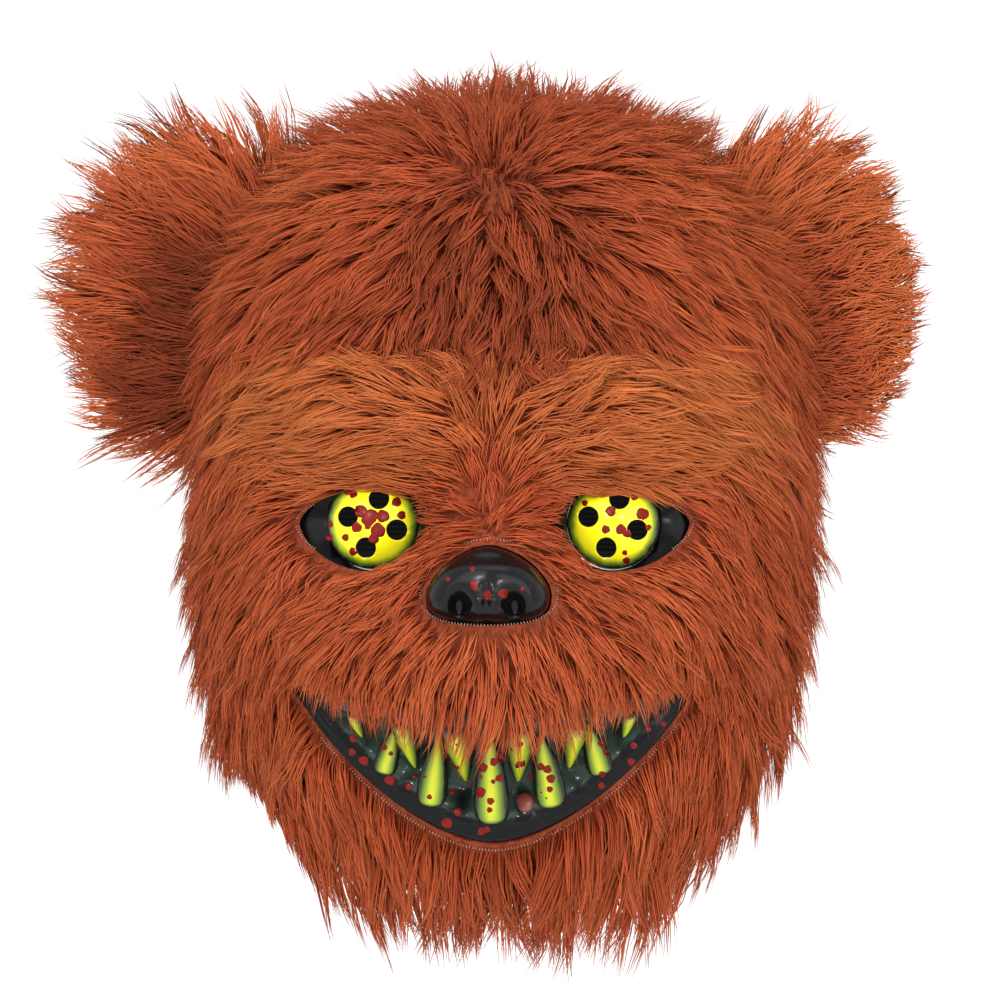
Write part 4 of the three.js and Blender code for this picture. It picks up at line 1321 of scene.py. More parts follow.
@dataclass
class Coat:
    """Pile over a surface: wisps of tapered three-sided strands.

    legs are the three legs' angles from the surface's normal. sway and curl each give the size of the
    drift's features, the drift's strength and each wisp's own share.
    """

    spacing: float = 5.4
    strands: int = 12
    width: float = 0.68
    ridge: float = 0.4
    gather: tuple[float, float] = (0.1, 0.85)
    splay: float = 1.7
    lean: float = 0.8
    rounding: float = 0.75
    wave: float = 1.2
    seed: int = 7
    legs: Three = (1.02, 1.38, 1.58)
    uprightness: float = 0.85
    sag: float = 0.06
    sway: Three = (34.0, 0.24, 0.13)
    curl: Three = (20.0, 0.4, 0.3)
    wisp_lengths: tuple[float, float] = (0.78, 1.12)
    strand_lengths: tuple[float, float] = (0.72, 1.08)
    taper: Three = (0.8, 1.0, 0.72)
    keep_clear: Callable[[Array], Array] | None = None
    bare: Callable[[Array], Array] | None = None
    stations: tuple[float, ...] = (0.0, 0.34, 0.68, 1.0)

    def grow(self, name: str, roots: Roots, look: Material, slot: Slot) -> Piece:
        """Make one piece of pile.

        Args:
            name: The piece's name.
            roots: Where its wisps start.
            look: The pile's material.
            slot: The record's slot.

        Returns:
            The piece.
        """
        rng = np.random.default_rng(self.seed + len(roots.points))
        paths, across, lie, tone = self.strand_paths(roots, rng)
        mesh = self.strand_mesh(name, paths, across, lie, tone)
        return finish_piece(name, mesh, look, slot)

    def strand_paths(self, roots: Roots, rng: np.random.Generator) -> tuple[Array, Array, Array, Array]:
        """Every strand's path of four points, the way across it, its lock's rounded normals and its shade.

        Args:
            roots: Where the wisps start.
            rng: The random draws.

        Returns:
            The paths, the ways across, the normals and the shades.
        """
        count = len(roots.points)
        length = roots.length * rng.uniform(*self.wisp_lengths, count)
        angle = roots.stand[:, None] * -self.uprightness + np.array(self.legs)
        angle = angle + rng.normal(0, 0.12, (count, 1))
        angle = np.clip(angle, 0.05, 1.62)
        side = unit(np.cross(roots.normals, roots.comb))
        size, drifted, own = self.sway
        sway = drift(roots.points, size, rng) * drifted + rng.normal(0, own, count)
        comb = roots.comb * np.cos(sway)[:, None] + side * np.sin(sway)[:, None]
        side = unit(np.cross(roots.normals, comb))
        size, drifted, own = self.curl
        curl = rng.normal(0, own, count) + drift(roots.points, size, rng) * drifted
        points = [roots.points]
        for leg in range(3):
            turned = comb + side * (curl * (leg - 0.6) * 0.5)[:, None]
            lay = angle[:, leg : leg + 1]
            way = turned * np.sin(lay) + roots.normals * np.cos(lay)
            way[:, 2] -= self.sag * leg
            step = length * (self.stations[leg + 1] - self.stations[leg])
            points.append(points[-1] + unit(way) * step[:, None])
        wisp = np.stack(points, axis=1)
        each = np.repeat(np.arange(count), np.maximum(3, rng.poisson(self.strands, count)))
        total = len(each)
        around = rng.uniform(0, 2 * math.pi, total)
        reach = self.spacing * CLOSEST * np.sqrt(rng.uniform(0, 1, total))
        offset = side[each] * (reach * np.cos(around))[:, None]
        offset = offset + comb[each] * (reach * np.sin(around))[:, None]
        share = np.array(self.stations)
        gather = rng.uniform(*self.gather, count)[each][:, None]
        closing = 1 - gather * rng.uniform(0.8, 1.1, (total, 1)) * share**1.3
        scale = rng.uniform(*self.strand_lengths, total)
        run = (wisp[each] - wisp[each][:, :1]) * scale[:, None, None]
        paths = wisp[each][:, :1] + run + offset[:, None, :] * closing[:, :, None]
        wobble = rng.normal(0, self.wave * 0.4, (total, 4, 1)) * (share[None, :, None] > 0)
        wobble = wobble + rng.normal(0, self.splay, (total, 1, 1)) * share[None, :, None] ** 1.6
        paths = paths + wobble * side[each][:, None, :]
        lift = rng.normal(0, 0.7, (total, 1)) * share
        paths = paths + roots.normals[each][:, None, :] * lift[:, :, None]
        if self.keep_clear is not None:
            paths = self.keep_clear(paths)
        roll = rng.normal(0, 0.5, total)
        across = side[each] * np.cos(roll)[:, None] + roots.normals[each] * np.sin(roll)[:, None]
        from_middle = reach * np.cos(around) / self.spacing
        tilt = (share[None, :] - 0.4) * self.lean + rng.normal(0, 0.12, count)[each][:, None]
        lie = roots.normals[each][:, None, :] + comb[each][:, None, :] * tilt[:, :, None]
        lie = unit(lie + (side[each] * (from_middle * self.rounding)[:, None])[:, None, :])
        tone = roots.tone[each] + rng.normal(0, 0.12, count)[each] + rng.normal(0, 0.06, total)
        if self.bare is None:
            return paths, across, lie, tone
        grown = ~self.bare(paths[:, 0])
        return paths[grown], across[grown], lie[grown], tone[grown]

    def strand_mesh(self, name: str, paths: Array, across: Array, lie: Array, tone: Array) -> Mesh:
        """The strands' mesh: three three-sided rings and a point each.

        Args:
            name: The mesh's name.
            paths: The strands' points.
            across: The way across each strand.
            lie: The rounded normals.
            tone: The shades.

        Returns:
            The mesh.
        """
        total = len(paths)
        ways = unit(np.diff(paths, axis=1))
        rings = []
        for ring in range(3):
            over = unit(np.cross(ways[:, ring], across))
            flat = unit(np.cross(over, ways[:, ring]))
            half = self.width * self.taper[ring] / 2
            centre = paths[:, ring]
            rings += [centre - flat * half, centre + flat * half, centre + over * half * self.ridge * 2]
        corners = np.stack([*rings, paths[:, 3]], axis=1).reshape(-1, 3) * MM
        quads = [
            (ring * 3 + a, ring * 3 + b, ring * 3 + 3 + b, ring * 3 + 3 + a)
            for ring in range(2) for a, b in ((0, 1), (1, 2), (2, 0))
        ]
        triangles = [(6, 7, 9), (7, 8, 9), (8, 6, 9), (2, 1, 0)]
        pattern = np.array([corner for face in (*quads, *triangles) for corner in face])
        sizes = np.array([4] * len(quads) + [3] * len(triangles))
        loops = (pattern[None, :] + 10 * np.arange(total)[:, None]).ravel()
        starts = np.concatenate([[0], np.cumsum(np.tile(sizes, total))[:-1]])
        mesh = bpy.data.meshes.new(name)
        mesh.vertices.add(len(corners))
        mesh.vertices.foreach_set("co", corners.ravel())
        mesh.loops.add(len(loops))
        mesh.loops.foreach_set("vertex_index", loops.astype(np.int32))
        mesh.polygons.add(len(starts))
        mesh.polygons.foreach_set("loop_start", starts.astype(np.int32))
        mesh.update(calc_edges=True)
        mark(mesh, "along", np.tile([*np.repeat(self.stations[:3], 3), 1.0], total))
        mark(mesh, "tone", np.repeat(tone, 10))
        mark(mesh, "across", np.tile([-1.0, 1.0, 0.0] * 3 + [0.0], total))
        rounded = np.repeat(lie, [3, 3, 3, 1], axis=1).astype(np.float32)
        mesh.attributes.new("lie", "FLOAT_VECTOR", "POINT").data.foreach_set("vector", rounded.ravel())
        return mesh


def combed(points: Array, guides: tuple[Guide, ...]) -> tuple[Array, Array]:
    """The combing and the other values at points, blended from the guides on both sides.

    Args:
        points: Places on the face, in millimetres.
        guides: The guides of one side.

    Returns:
        The directions, and rows of length, uprightness and shade.
    """
    rows = []
    for guide in guides:
        y = float(FACE.by_front(guide.x, guide.z)[1]) if guide.y is None else guide.y
        towards = (guide.to_x, guide.to_y, guide.to_z)
        rows.append((guide.x, y, guide.z, *towards, guide.length, guide.stand, guide.tone))
    table = np.array(rows)
    folded = points.copy()
    folded[:, 0] = np.abs(points[:, 0])
    away = ((folded[:, None, :] - table[None, :, :3]) ** 2).sum(axis=-1)
    weight = 1 / (away + 40.0) ** 2
    weight /= weight.sum(axis=1, keepdims=True)
    towards = weight @ table[:, 3:6]
    towards[:, 0] *= np.clip(points[:, 0] / 5.0, -1, 1)
    return towards, weight @ table[:, 6:]


def over_domes(paths: Array) -> Array:
    """Lift points of the pile that would pass through an eye dome to just in front of it.

    Args:
        paths: The strands' points.

    Returns:
        The lifted points.
    """
    clear, run_out, margin = 0.9, 2.2, 5
    away = np.hypot(np.abs(paths[..., 0]) - EYE.spacing / 2, paths[..., 2] - EYE.height)
    near = np.minimum(away, EYE.radius)
    dome = EYE.rim_y() - EYE.dome_rise + EYE.ball - np.sqrt(EYE.ball**2 - near**2) - clear
    dome = dome + run_out * np.maximum(away - EYE.radius, 0)
    lifted = paths.copy()
    over = (away < EYE.radius + margin) & (paths[..., 1] < 0)
    lifted[..., 1] = np.where(over, np.minimum(paths[..., 1], dome), paths[..., 1])
    return lifted


def laid(points: Array, normals: Array, towards: Array, values: Array) -> Roots:
    """Roots whose combing lies in the surface. Pile combed straight out stands up and is shorter.

    Args:
        points: Places, in millimetres.
        normals: The surface's normals.
        towards: The combing.
        values: Rows of length, uprightness and shade.

    Returns:
        The roots.
    """
    flat = towards - normals * (towards * normals).sum(axis=1, keepdims=True)
    lying = np.minimum(1, 1.6 * np.linalg.norm(flat, axis=1))
    flat[:, 2] -= 1e-3
    flat -= normals * (flat * normals).sum(axis=1, keepdims=True)
    length = values[:, 0] * (0.45 + 0.55 * lying)
    stand = values[:, 1] + (1 - lying) * 0.9
    return Roots(points, normals, unit(flat), length, stand, values[:, 2])


# The mask's parts


class Region(Enum):
    """The plush's panels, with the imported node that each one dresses."""

    CROWN = "plush_crown"
    FOREHEAD = "plush_forehead"
    BROW_LEFT = "plush_brow_left"
    BROW_RIGHT = "plush_brow_right"
    FACE = "plush_face"
    CHIN = "plush_chin"


@dataclass
class HeadPlush:
    """The plush over the shell: a dark backing and the long pile on it."""

    root_height: float = 2.5
    backing_inner: float = 0.5
    backing_outer: float = 3.2
    spacing: float = 5.2
    cells: tuple[int, int] = (240, 90)
    candidates: int = 42000
    seed: int = 20
    opening_gap: float = 1.5
    fringe: float = 25.0
    trim_steps: int = 20
    trim_share: float = 0.93
    lying_share: float = 0.92
    tufts: tuple[tuple[int, float, float, float], ...] = ((1, 10.0, -112.0, 10.0), (-1, 66.0, -74.0, -15.0))
    brow_edges: tuple[tuple[float, float, float], ...] = (
        (0, 55.5, 22.5), (14.6, 60.4, 14.5), (38.1, 69.2, 12.1), (61.6, 72.5, 13.7), (81.8, 69.2, 26.6),
        (98.6, 58.0, 43.5), (109.8, 50.7, 49.9),
    )
    habits: dict[Region, dict[str, object]] = field(default_factory=lambda: {
        Region.CROWN: {"strands": 8, "gather": (0.3, 0.9)},
        Region.FOREHEAD: {"strands": 12, "gather": (0.6, 0.97), "splay": 0.9},
        Region.BROW_LEFT: {"strands": 14, "gather": (0.3, 0.9), "splay": 1.0, "wave": 0.7},
        Region.BROW_RIGHT: {"strands": 14, "gather": (0.3, 0.9), "splay": 1.0, "wave": 0.7},
        Region.FACE: {"gather": (0.2, 0.92), "splay": 1.2, "wave": 0.8},
        Region.CHIN: {"strands": 14, "gather": (0.3, 0.95), "splay": 1.2, "wave": 0.9},
    })

    def openings(self, grow: float) -> list[Array]:
        """The outlines that are open in the plush.

        Args:
            grow: How far out.

        Returns:
            The outlines.
        """
        return [
            EYE.outline(1, grow), EYE.outline(-1, grow), NOSE.outline(self.opening_gap * 0.4 + grow),
            MOUTH.outline(-self.opening_gap - grow),
        ]

    def region(self, points: Array) -> Array:
        """Each point's panel, as its place in the list of panels.

        Args:
            points: Places, in millimetres.

        Returns:
            A number for each point.
        """
        x, y, z = np.abs(points[:, 0]), points[:, 1], points[:, 2]
        edges = np.array(self.brow_edges)
        top = np.interp(x, edges[:, 0], edges[:, 1])
        bottom = np.interp(x, edges[:, 0], edges[:, 2])
        chin = np.where(x < MOUTH.half_width, MOUTH.lower(x) + MOUTH.bead_width / 2, MOUTH.corner)
        order = list(Region)
        result = np.full(len(points), order.index(Region.FACE))
        result[z < chin] = order.index(Region.CHIN)
        brow = (z > bottom) & (z <= top)
        result[brow & (points[:, 0] >= 0)] = order.index(Region.BROW_LEFT)
        result[brow & (points[:, 0] < 0)] = order.index(Region.BROW_RIGHT)
        result[z > top] = order.index(Region.FOREHEAD)
        seam = -25 - np.clip((z - 92) / 58, 0, 1) * 20
        behind = ((z > 150) & (y > -45)) | ((z > 60) & (y > seam))
        result[behind] = order.index(Region.CROWN)
        return result

    def roots(self) -> Roots:
        """Even places for wisps over the whole face, clear of the openings.

        Returns:
            The roots.
        """
        rng = np.random.default_rng(self.seed)
        cells_around, cells_out = self.cells
        around, share = np.meshgrid(
            (np.arange(cells_around) + 0.5) / cells_around, (np.arange(cells_out) + 0.5) / cells_out,
        )
        around, share = around.ravel(), share.ravel()
        half_a, half_s = 0.5 / cells_around, 0.5 / cells_out
        run_a = FACE.by_share(around + half_a, share) - FACE.by_share(around - half_a, share)
        run_s = FACE.by_share(around, share + half_s) - FACE.by_share(around, share - half_s)
        area = np.linalg.norm(np.cross(run_a, run_s), axis=1)
        log.info("plush surface: %.0f square millimetres", area.sum())
        picks = rng.choice(len(area), self.candidates, p=area / area.sum())
        around = around[picks] + rng.uniform(-half_a, half_a, self.candidates)
        share = np.minimum(share[picks] + rng.uniform(-half_s, half_s, self.candidates), 1)
        points = FACE.by_share(around, share, self.root_height)
        front = points[:, 1] < FRONT
        open_ = np.zeros(len(points), bool)
        for outline in self.openings(0.8):
            open_ |= inside(outline, points[:, 0], points[:, 2]) & front
        points = points[~open_]
        points = points[even_places(points, self.spacing * CLOSEST, rng)]
        towards, values = combed(points, GUIDES)
        roots = laid(points, FACE.normals(points), towards, values)
        for side, past, below, change in self.tufts:
            roots.length += change * ramp(side * points[:, 0] - past, 30.0) * ramp(below - points[:, 2], 20.0)
        self.trim(roots)
        return roots

    def trim(self, roots: Roots) -> None:
        """Shorten the pile that would reach too far over an opening.

        Args:
            roots: Where the wisps start.
        """
        x, z = roots.points[:, 0], roots.points[:, 2]
        over_mouth = 1.0 + self.fringe * np.maximum(1 - (np.abs(x) / MOUTH.half_width) ** 1.4, 0)
        over_eye = np.where((np.abs(x) < EYE.spacing / 2 - 8) & (z < 8), 6.0, np.where(z > 6, -2.5, 1.0))
        over = (
            (EYE.outline(1), over_eye), (EYE.outline(-1), over_eye), (NOSE.outline(0.4), 0.5 + 0 * x),
            (MOUTH.outline(-self.opening_gap), np.where(z > MOUTH.upper(x), over_mouth, 0.5)),
        )
        ahead = roots.points[:, 1] < FRONT
        for outline, allowed in over:
            for _ in range(self.trim_steps):
                reach = np.maximum(roots.length * self.lying_share - allowed, 0)
                tip = roots.points + roots.comb * reach[:, None]
                middle = roots.points + roots.comb * reach[:, None] * 0.5
                hit = inside(outline, tip[:, 0], tip[:, 2]) | inside(outline, middle[:, 0], middle[:, 2])
                roots.length[hit & ahead] *= self.trim_share

    def bare(self, points: Array) -> Array:
        """Which points lie over an opening, where no strand may start.

        Args:
            points: Places, in millimetres.

        Returns:
            True for each point over an opening.
        """
        over = np.zeros(len(points), bool)
        for outline in self.openings(0.2):
            over |= inside(outline, points[:, 0], points[:, 2])
        return over & (points[:, 1] < FRONT)

    def build(self, looks: Wardrobe) -> None:
        """Make the backing and the pile of every panel.

        Args:
            looks: The finishes.
        """
        backing = mesh_of("plush_backing", FACE.wall(self.backing_inner, self.backing_outer))
        outlines = [EYE.outline(side, least=EYE.radius + 0.6) for side in (1, -1)] + self.openings(0.0)[2:]
        backing = cut(backing, [block_along_y(outline) for outline in outlines])
        base = finish_piece("plush_backing", backing, looks.backing, Slot.PLUSH)
        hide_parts(*(region.value for region in Region))
        roots = self.roots()
        which = self.region(roots.points)
        for number, region in enumerate(Region):
            coat = Coat(keep_clear=over_domes, bare=self.bare, **self.habits[region])
            part = which == number
            brow = region in (Region.BROW_LEFT, Region.BROW_RIGHT)
            look, slot = (looks.brow, Slot.BROW) if brow else (looks.plush, Slot.PLUSH)
            halves = {"left": roots.points[:, 0] >= 0, "right": roots.points[:, 0] < 0}
            if brow:
                halves = {"": np.ones(len(which), bool)}
            for half, chosen in halves.items():
                name = "_".join(filter(None, (region.value, half, "pile")))
                piece = coat.grow(name, roots.chosen(part & chosen), look, slot)
                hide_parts(region.value)


@dataclass(frozen=True)
class EarHabit:
    """How one ear's place and pile differ from the other's."""

    stand_off: float
    tuft: float
    tuft_reach: float
    scale: float
    outer_tuft: float
    # The pile's base tone, lighter on one ear than the other: painted light and shade of how light falls on
    # each ear.
    shade: float
    # How strongly painted shade darkens the pile in the ear's dish.
    hollow_painted_shade: float


# The last two values of each are painted light and shade: the ear's base tone and the painted shade in its
# dish.
EAR_HABITS = {
    1: EarHabit(118.0, 26.0, 34.0, 0.6, 8.0, 0.32, 0.7),
    -1: EarHabit(124.0, 7.0, 15.0, 1.15, 3.0, 0.14, 1.15),
}


@dataclass
class Ear:
    """A stuffed plush ear, dished at the front."""

    side: int
    half_width: float = 42.0
    height: float = 57.0
    front: float = 16.0
    back: float = 12.0
    roundness: float = 2.2
    fullness: float = 0.75
    dish: float = 15.0
    middle_z: float = 92.0
    middle_y: float = 4.0
    lean: float = 15.0
    sweep: float = 12.0
    spacing: float = 5.2
    candidates: int = 13000
    seed: int = 90
    length: float = 30.0
    seat_level: float = 1.07
    bare_level: float = 1.05

    @property
    def name(self) -> str:
        """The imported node's name."""
        return "ear_left" if self.side > 0 else "ear_right"

    @property
    def habit(self) -> EarHabit:
        """What is this ear's own."""
        return EAR_HABITS[self.side]

    def local(self, around: Array, along: Array) -> Array:
        """Points in the ear's own frame, with x away from the head and y backwards.

        Args:
            around: Shares of the way round.
            along: Shares of the way from front to back.

        Returns:
            The points.
        """
        turn, tilt = 2 * math.pi * around, math.pi * np.clip(along, 0, 1)
        spread = np.abs(np.sin(tilt)) ** self.fullness
        ahead = np.cos(tilt) > 0
        depth = np.where(ahead, -self.front, self.back)
        hollow = np.where(ahead, self.dish * (1 - spread**2), 0)
        x = self.half_width * bend(np.cos(turn), self.roundness) * spread
        z = self.height * bend(np.sin(turn), self.roundness) * spread
        return np.stack([x, depth * np.abs(np.cos(tilt)) + hollow, z], axis=-1)

    def turn_matrix(self) -> Array:
        """The ear's turn on the head.

        Returns:
            A 3 by 3 matrix.
        """
        sweep = Matrix.Rotation(math.radians(self.sweep), 3, "Z")
        lean = Matrix.Rotation(math.radians(-self.lean), 3, "Y")
        return np.array(sweep @ lean)

    def placed(self, points: Array, way: bool = False) -> Array:
        """Points or directions of the ear's own frame, on the head.

        Args:
            points: Places, in millimetres.
            way: Whether they are directions.

        Returns:
            The points or directions.
        """
        turned = points @ self.turn_matrix().T
        if not way:
            turned = turned + np.array([self.habit.stand_off, self.middle_y, self.middle_z])
        return turned * np.array([self.side, 1, 1])

    def normals(self, around: Array, along: Array) -> Array:
        """Outward normals in the ear's own frame.

        Args:
            around: Shares of the way round.
            along: Shares of the way from front to back.

        Returns:
            Unit vectors.
        """
        step = 0.004
        run_a = self.local(around + step, along) - self.local(around - step, along)
        run_b = self.local(around, along + step) - self.local(around, along - step)
        normal = unit(np.cross(run_a, run_b))
        ahead = np.where(along < 0.5, -1.0, 1.0)
        middle = self.local(around, along)
        depth = ahead * np.abs(np.cos(math.pi * along))
        guess = np.stack([middle[:, 0] * 0.02, depth, middle[:, 2] * 0.02], axis=-1)
        return normal * np.sign((normal * guess).sum(axis=1, keepdims=True))

    def roots(self) -> Roots:
        """Even places for wisps on the ear, outside the head.

        Returns:
            The roots.
        """
        rng = np.random.default_rng(self.seed)
        around, along = rng.uniform(0, 1, (2, self.candidates * 4))
        half = 0.002
        run_a = self.local(around + half, along) - self.local(around - half, along)
        run_b = self.local(around, along + half) - self.local(around, along - half)
        area = np.linalg.norm(np.cross(run_a, run_b), axis=1)
        picks = rng.choice(len(area), self.candidates, p=area / area.sum(), replace=False)
        around, along = around[picks], along[picks]
        points = self.local(around, along)
        kept = even_places(points, self.spacing * CLOSEST, rng)
        points, around, along = points[kept], around[kept], along[kept]
        normals = self.normals(around, along)
        base = np.zeros_like(points) + np.array([-48.0, 0.0, -14.0])
        base[:, 0] -= 62 * ramp(points[:, 0] + 30, 40.0)
        towards = unit((points - base) * np.array([1, 0.3, 1]))
        towards[:, 0] += 0.3 * np.where(points[:, 2] > 20, 0.0, 1.0)
        rim = np.abs(along - 0.5) < 0.2
        inner = (along < 0.32).astype(float)
        edge = np.hypot(points[:, 0] / self.half_width, points[:, 2] / self.height)
        own = self.habit
        tufted = ramp(points[:, 2] - 10, 30.0) * ramp(own.tuft_reach - points[:, 0], 30.0)
        length = self.length - 3 * (1 - edge) + own.tuft * tufted
        length = length + 8 * ramp(-20 - points[:, 2], 25.0) * ramp(5 - points[:, 0], 20.0)
        length = length - 9 * ramp(-8 - points[:, 2], 25.0) * ramp(points[:, 0] - 5, 20.0)
        outer = ramp(points[:, 2] - 12, 22.0) * ramp(points[:, 0] - 2, 20.0)
        length = length * own.scale + own.outer_tuft * outer
        stand = np.where(rim, 0.3, 0.25)
        # Painted shade low in the front dish towards the head, painted light on the rim, and each ear's
        # painted base tone.
        hollow = ramp(22 - points[:, 0], 20.0) * ramp(34 - points[:, 2], 26.0)
        tone = own.shade - own.hollow_painted_shade * inner * hollow + 0.1 * rim
        roots = laid(points, normals, towards, np.stack([length, stand, tone], axis=-1))
        ways = (self.placed(roots.normals, way=True), self.placed(roots.comb, way=True))
        roots = Roots(self.placed(roots.points), *ways, roots.length, roots.stand, roots.tone)
        hidden = FACE.level(*roots.points.T) < self.bare_level
        return roots.chosen(~hidden)

    def seated(self, points: Array) -> Array:
        """Points of the pad, with those inside the head moved out to the plush.

        Args:
            points: Places, in millimetres.

        Returns:
            The points.
        """
        level = FACE.level(*points.T)
        push = np.maximum(1, self.seat_level / np.maximum(level, 1e-6)) ** (1 / FACE.roundness)
        return points * push[:, None]

    def build(self, looks: Wardrobe) -> None:
        """Make the stuffed ear and its pile.

        Args:
            looks: The finishes.
        """
        bm = bmesh.new()
        bmesh.ops.create_uvsphere(bm, u_segments=64, v_segments=40, radius=1)
        ball = np.array([vertex.co[:] for vertex in bm.verts])
        along = np.arccos(np.clip(ball[:, 2], -1, 1)) / math.pi
        around = np.arctan2(ball[:, 1], ball[:, 0]) / (2 * math.pi)
        place(bm, self.seated(self.placed(self.local(around, along))))
        bmesh.ops.recalc_face_normals(bm, faces=bm.faces)
        pad = finish_piece(f"{self.name}_pad", mesh_of(f"{self.name}_pad", bm), looks.backing, Slot.PLUSH)
        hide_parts(self.name)
        roots = self.roots()
        ahead = roots.normals[:, 1] < 0
        for name, chosen, coat in (
            (f"{self.name}_pile", ahead, Coat(seed=40)),
            (f"{self.name}_back_pile", ~ahead, Coat(seed=40, strands=8)),
        ):
            pile = coat.grow(name, roots.chosen(chosen), looks.plush, Slot.PLUSH)
            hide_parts(self.name)


@dataclass
class FaceShell:
    """The moulded shell, with its openings for the eyes, nose and mouth."""

    wall: float = 2.0
    nose_ledge: float = 4.0
    eye_room: float = 0.04
    rivet_y: float = -9.0
    rivet_radius: float = 1.9

    def build(self, looks: Wardrobe) -> None:
        """Make the shell.

        Args:
            looks: The finishes.
        """
        mesh = mesh_of("face_shell_wall", FACE.wall(-self.wall, 0.0))
        holes = []
        for side in (-1, 1):
            eye = Vector((side * EYE.spacing / 2, FRONT, EYE.height))
            holes.append(rod_between(Vector((eye.x, -200, eye.z)), eye, EYE.radius + self.eye_room, 72))
        holes += [
            block_along_y(NOSE.outline(-self.nose_ledge)),
            block_along_y(MOUTH.outline(MOUTH.flange)),
        ]
        ends = (Vector((x, self.rivet_y, 0)) for x in (-200, 200))
        holes.append(rod_between(*ends, self.rivet_radius, 24))
        piece = finish_piece("face_shell_moulding", cut(mesh, holes), looks.shell, Slot.SHELL)
        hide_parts("face_shell")


@dataclass
class EyeDome:
    """A painted dome with peep holes, on a skirt that passes through the shell."""

    side: int

    @property
    def name(self) -> str:
        """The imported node's name."""
        return "eye_left" if self.side > 0 else "eye_right"

    def build(self, looks: Wardrobe) -> Piece:
        """Make the dome.

        Args:
            looks: The finishes.

        Returns:
            The dome.
        """
        rim_y = EYE.rim_y()
        middle = EYE.skirt + EYE.dome_rise - EYE.ball

        def cap(radius: float, ball: float) -> list[tuple[float, float]]:
            """Rows of radius and height over a ball."""
            return [(r, middle + math.sqrt(ball**2 - r**2)) for r in np.linspace(0, radius, 15)]

        outside = cap(EYE.radius - 0.6, EYE.ball)
        outside += [(EYE.radius - 0.15, EYE.skirt - 0.05), (EYE.radius, EYE.skirt - 0.6), (EYE.radius, 0.0)]
        under = cap(EYE.radius - EYE.wall, EYE.ball - EYE.wall) + [(EYE.radius - EYE.wall, 0.0)]
        base = Vector((self.side * EYE.spacing / 2, rim_y + EYE.skirt, EYE.height))
        mesh = mesh_of(self.name, lathe(outside + under[::-1], Vector((0, -1, 0)), base, 72))
        holes = []
        for hole in range(EYE.holes):
            turn = math.radians(EYE.hole_turn + 360 * hole / EYE.holes)
            x = base.x + EYE.hole_ring * math.sin(turn)
            z = base.z + EYE.hole_ring * math.cos(turn)
            holes.append(rod_between(Vector((x, -200, z)), Vector((x, rim_y + 6, z)), EYE.hole_radius, 32))
        mesh = cut(mesh, holes)
        co = places_of(mesh)
        edge = np.hypot(co[:, 0] - base.x, co[:, 2] - base.z) / EYE.radius
        edge = np.maximum(edge, np.where(co[:, 1] > rim_y + 1.2, 2.0, 0.0))
        mark(mesh, "edge", edge)
        piece = finish_piece(f"{self.name}_dome", mesh, looks.eye, Slot.EYE)
        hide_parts(self.name)
        return piece


@dataclass
class Nose:
    """The moulded nose, with a shelf over its flat front, nostrils and a groove between them."""

    shelf_z: float = -18.0
    shelf_drop: float = 5.0
    shelf_slope: float = 6.0
    side_share: float = 0.88
    septum_top: float = -22.0
    septum_rise: float = 1.5
    septum_width: float = 1.3
    ridge_rise: float = 1.1
    ridge_x: float = 3.1
    ridge_width: float = 1.5

    def surface(self, around: Array, out: Array, inset: float) -> Array:
        """Points of the nose's front, moved in by inset.

        Args:
            around: Shares of the way round.
            out: Shares of the way out.
            inset: How far in.

        Returns:
            The points.
        """
        tilt = 0.5 * math.pi * np.minimum(out / self.side_share, 1)
        spread = np.abs(np.sin(tilt)) ** NOSE.fullness
        edge_x, edge_z = NOSE.edge(2 * math.pi * around, -inset)
        x = edge_x * spread
        z = NOSE.height + (edge_z - NOSE.height) * spread
        y = float(FACE.by_front(0.0, NOSE.height)[1]) - (NOSE.front - inset) * np.cos(tilt)
        y = y + self.shelf_drop * ramp(z - self.shelf_z, self.shelf_slope) * np.cos(tilt).clip(0)
        away = ((np.abs(x) - NOSE.nostril_x) / NOSE.nostril_wide) ** 2
        away = away + ((z - NOSE.nostril_z) / NOSE.nostril_tall) ** 2
        y = y + NOSE.nostril_depth / (1 + np.minimum(away, 50) ** 2)
        low = ramp(self.septum_top - z, self.shelf_slope)
        y = y + self.septum_rise * np.exp(-((x / self.septum_width) ** 2)) * low
        off_ridge = (np.abs(x) - self.ridge_x) / self.ridge_width
        y = y - self.ridge_rise * np.exp(-(off_ridge**2)) * low
        foot = FACE.by_front(x, z)[..., 1] + (0.6 if inset else -0.3)
        side = np.clip((out - self.side_share) / (1 - self.side_share), 0, 1)
        y = np.minimum(y + (foot - y) * side, foot)
        return np.stack([x, y, z], axis=-1)

    def build(self, looks: Wardrobe) -> Piece:
        """Make the nose.

        Args:
            looks: The finishes.

        Returns:
            The nose.
        """
        mesh = mesh_of("nose_moulding", walled_sheet(96, 48, self.surface, 0.0, NOSE.wall))
        piece = finish_piece("nose_moulding", mesh, looks.nose, Slot.SHELL)
        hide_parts("nose")
        return piece


@dataclass(frozen=True)
class Fang:
    """One fang: x as a share of the mouth's half width, and its width and length as shares too."""

    name: str
    upper: bool
    x: float
    width: float
    length: float


FANGS = (
    Fang("fang_lower_1", False, -0.52, 0.66, 0.62),
    Fang("fang_lower_2", False, -0.29, 0.86, 0.64),
    Fang("fang_lower_3", False, 0.0, 1.0, 0.72),
    Fang("fang_lower_4", False, 0.28, 0.9, 0.66),
    Fang("fang_lower_5", False, 0.52, 0.74, 0.66),
    Fang("fang_upper_1", True, -0.65, 0.5, 0.8),
    Fang("fang_upper_2", True, -0.405, 0.72, 0.84),
    Fang("fang_upper_3", True, -0.15, 0.85, 0.8),
    Fang("fang_upper_4", True, 0.145, 0.85, 0.8),
    Fang("fang_upper_5", True, 0.4, 0.72, 0.84),
    Fang("fang_upper_6", True, 0.65, 0.5, 0.8),
)


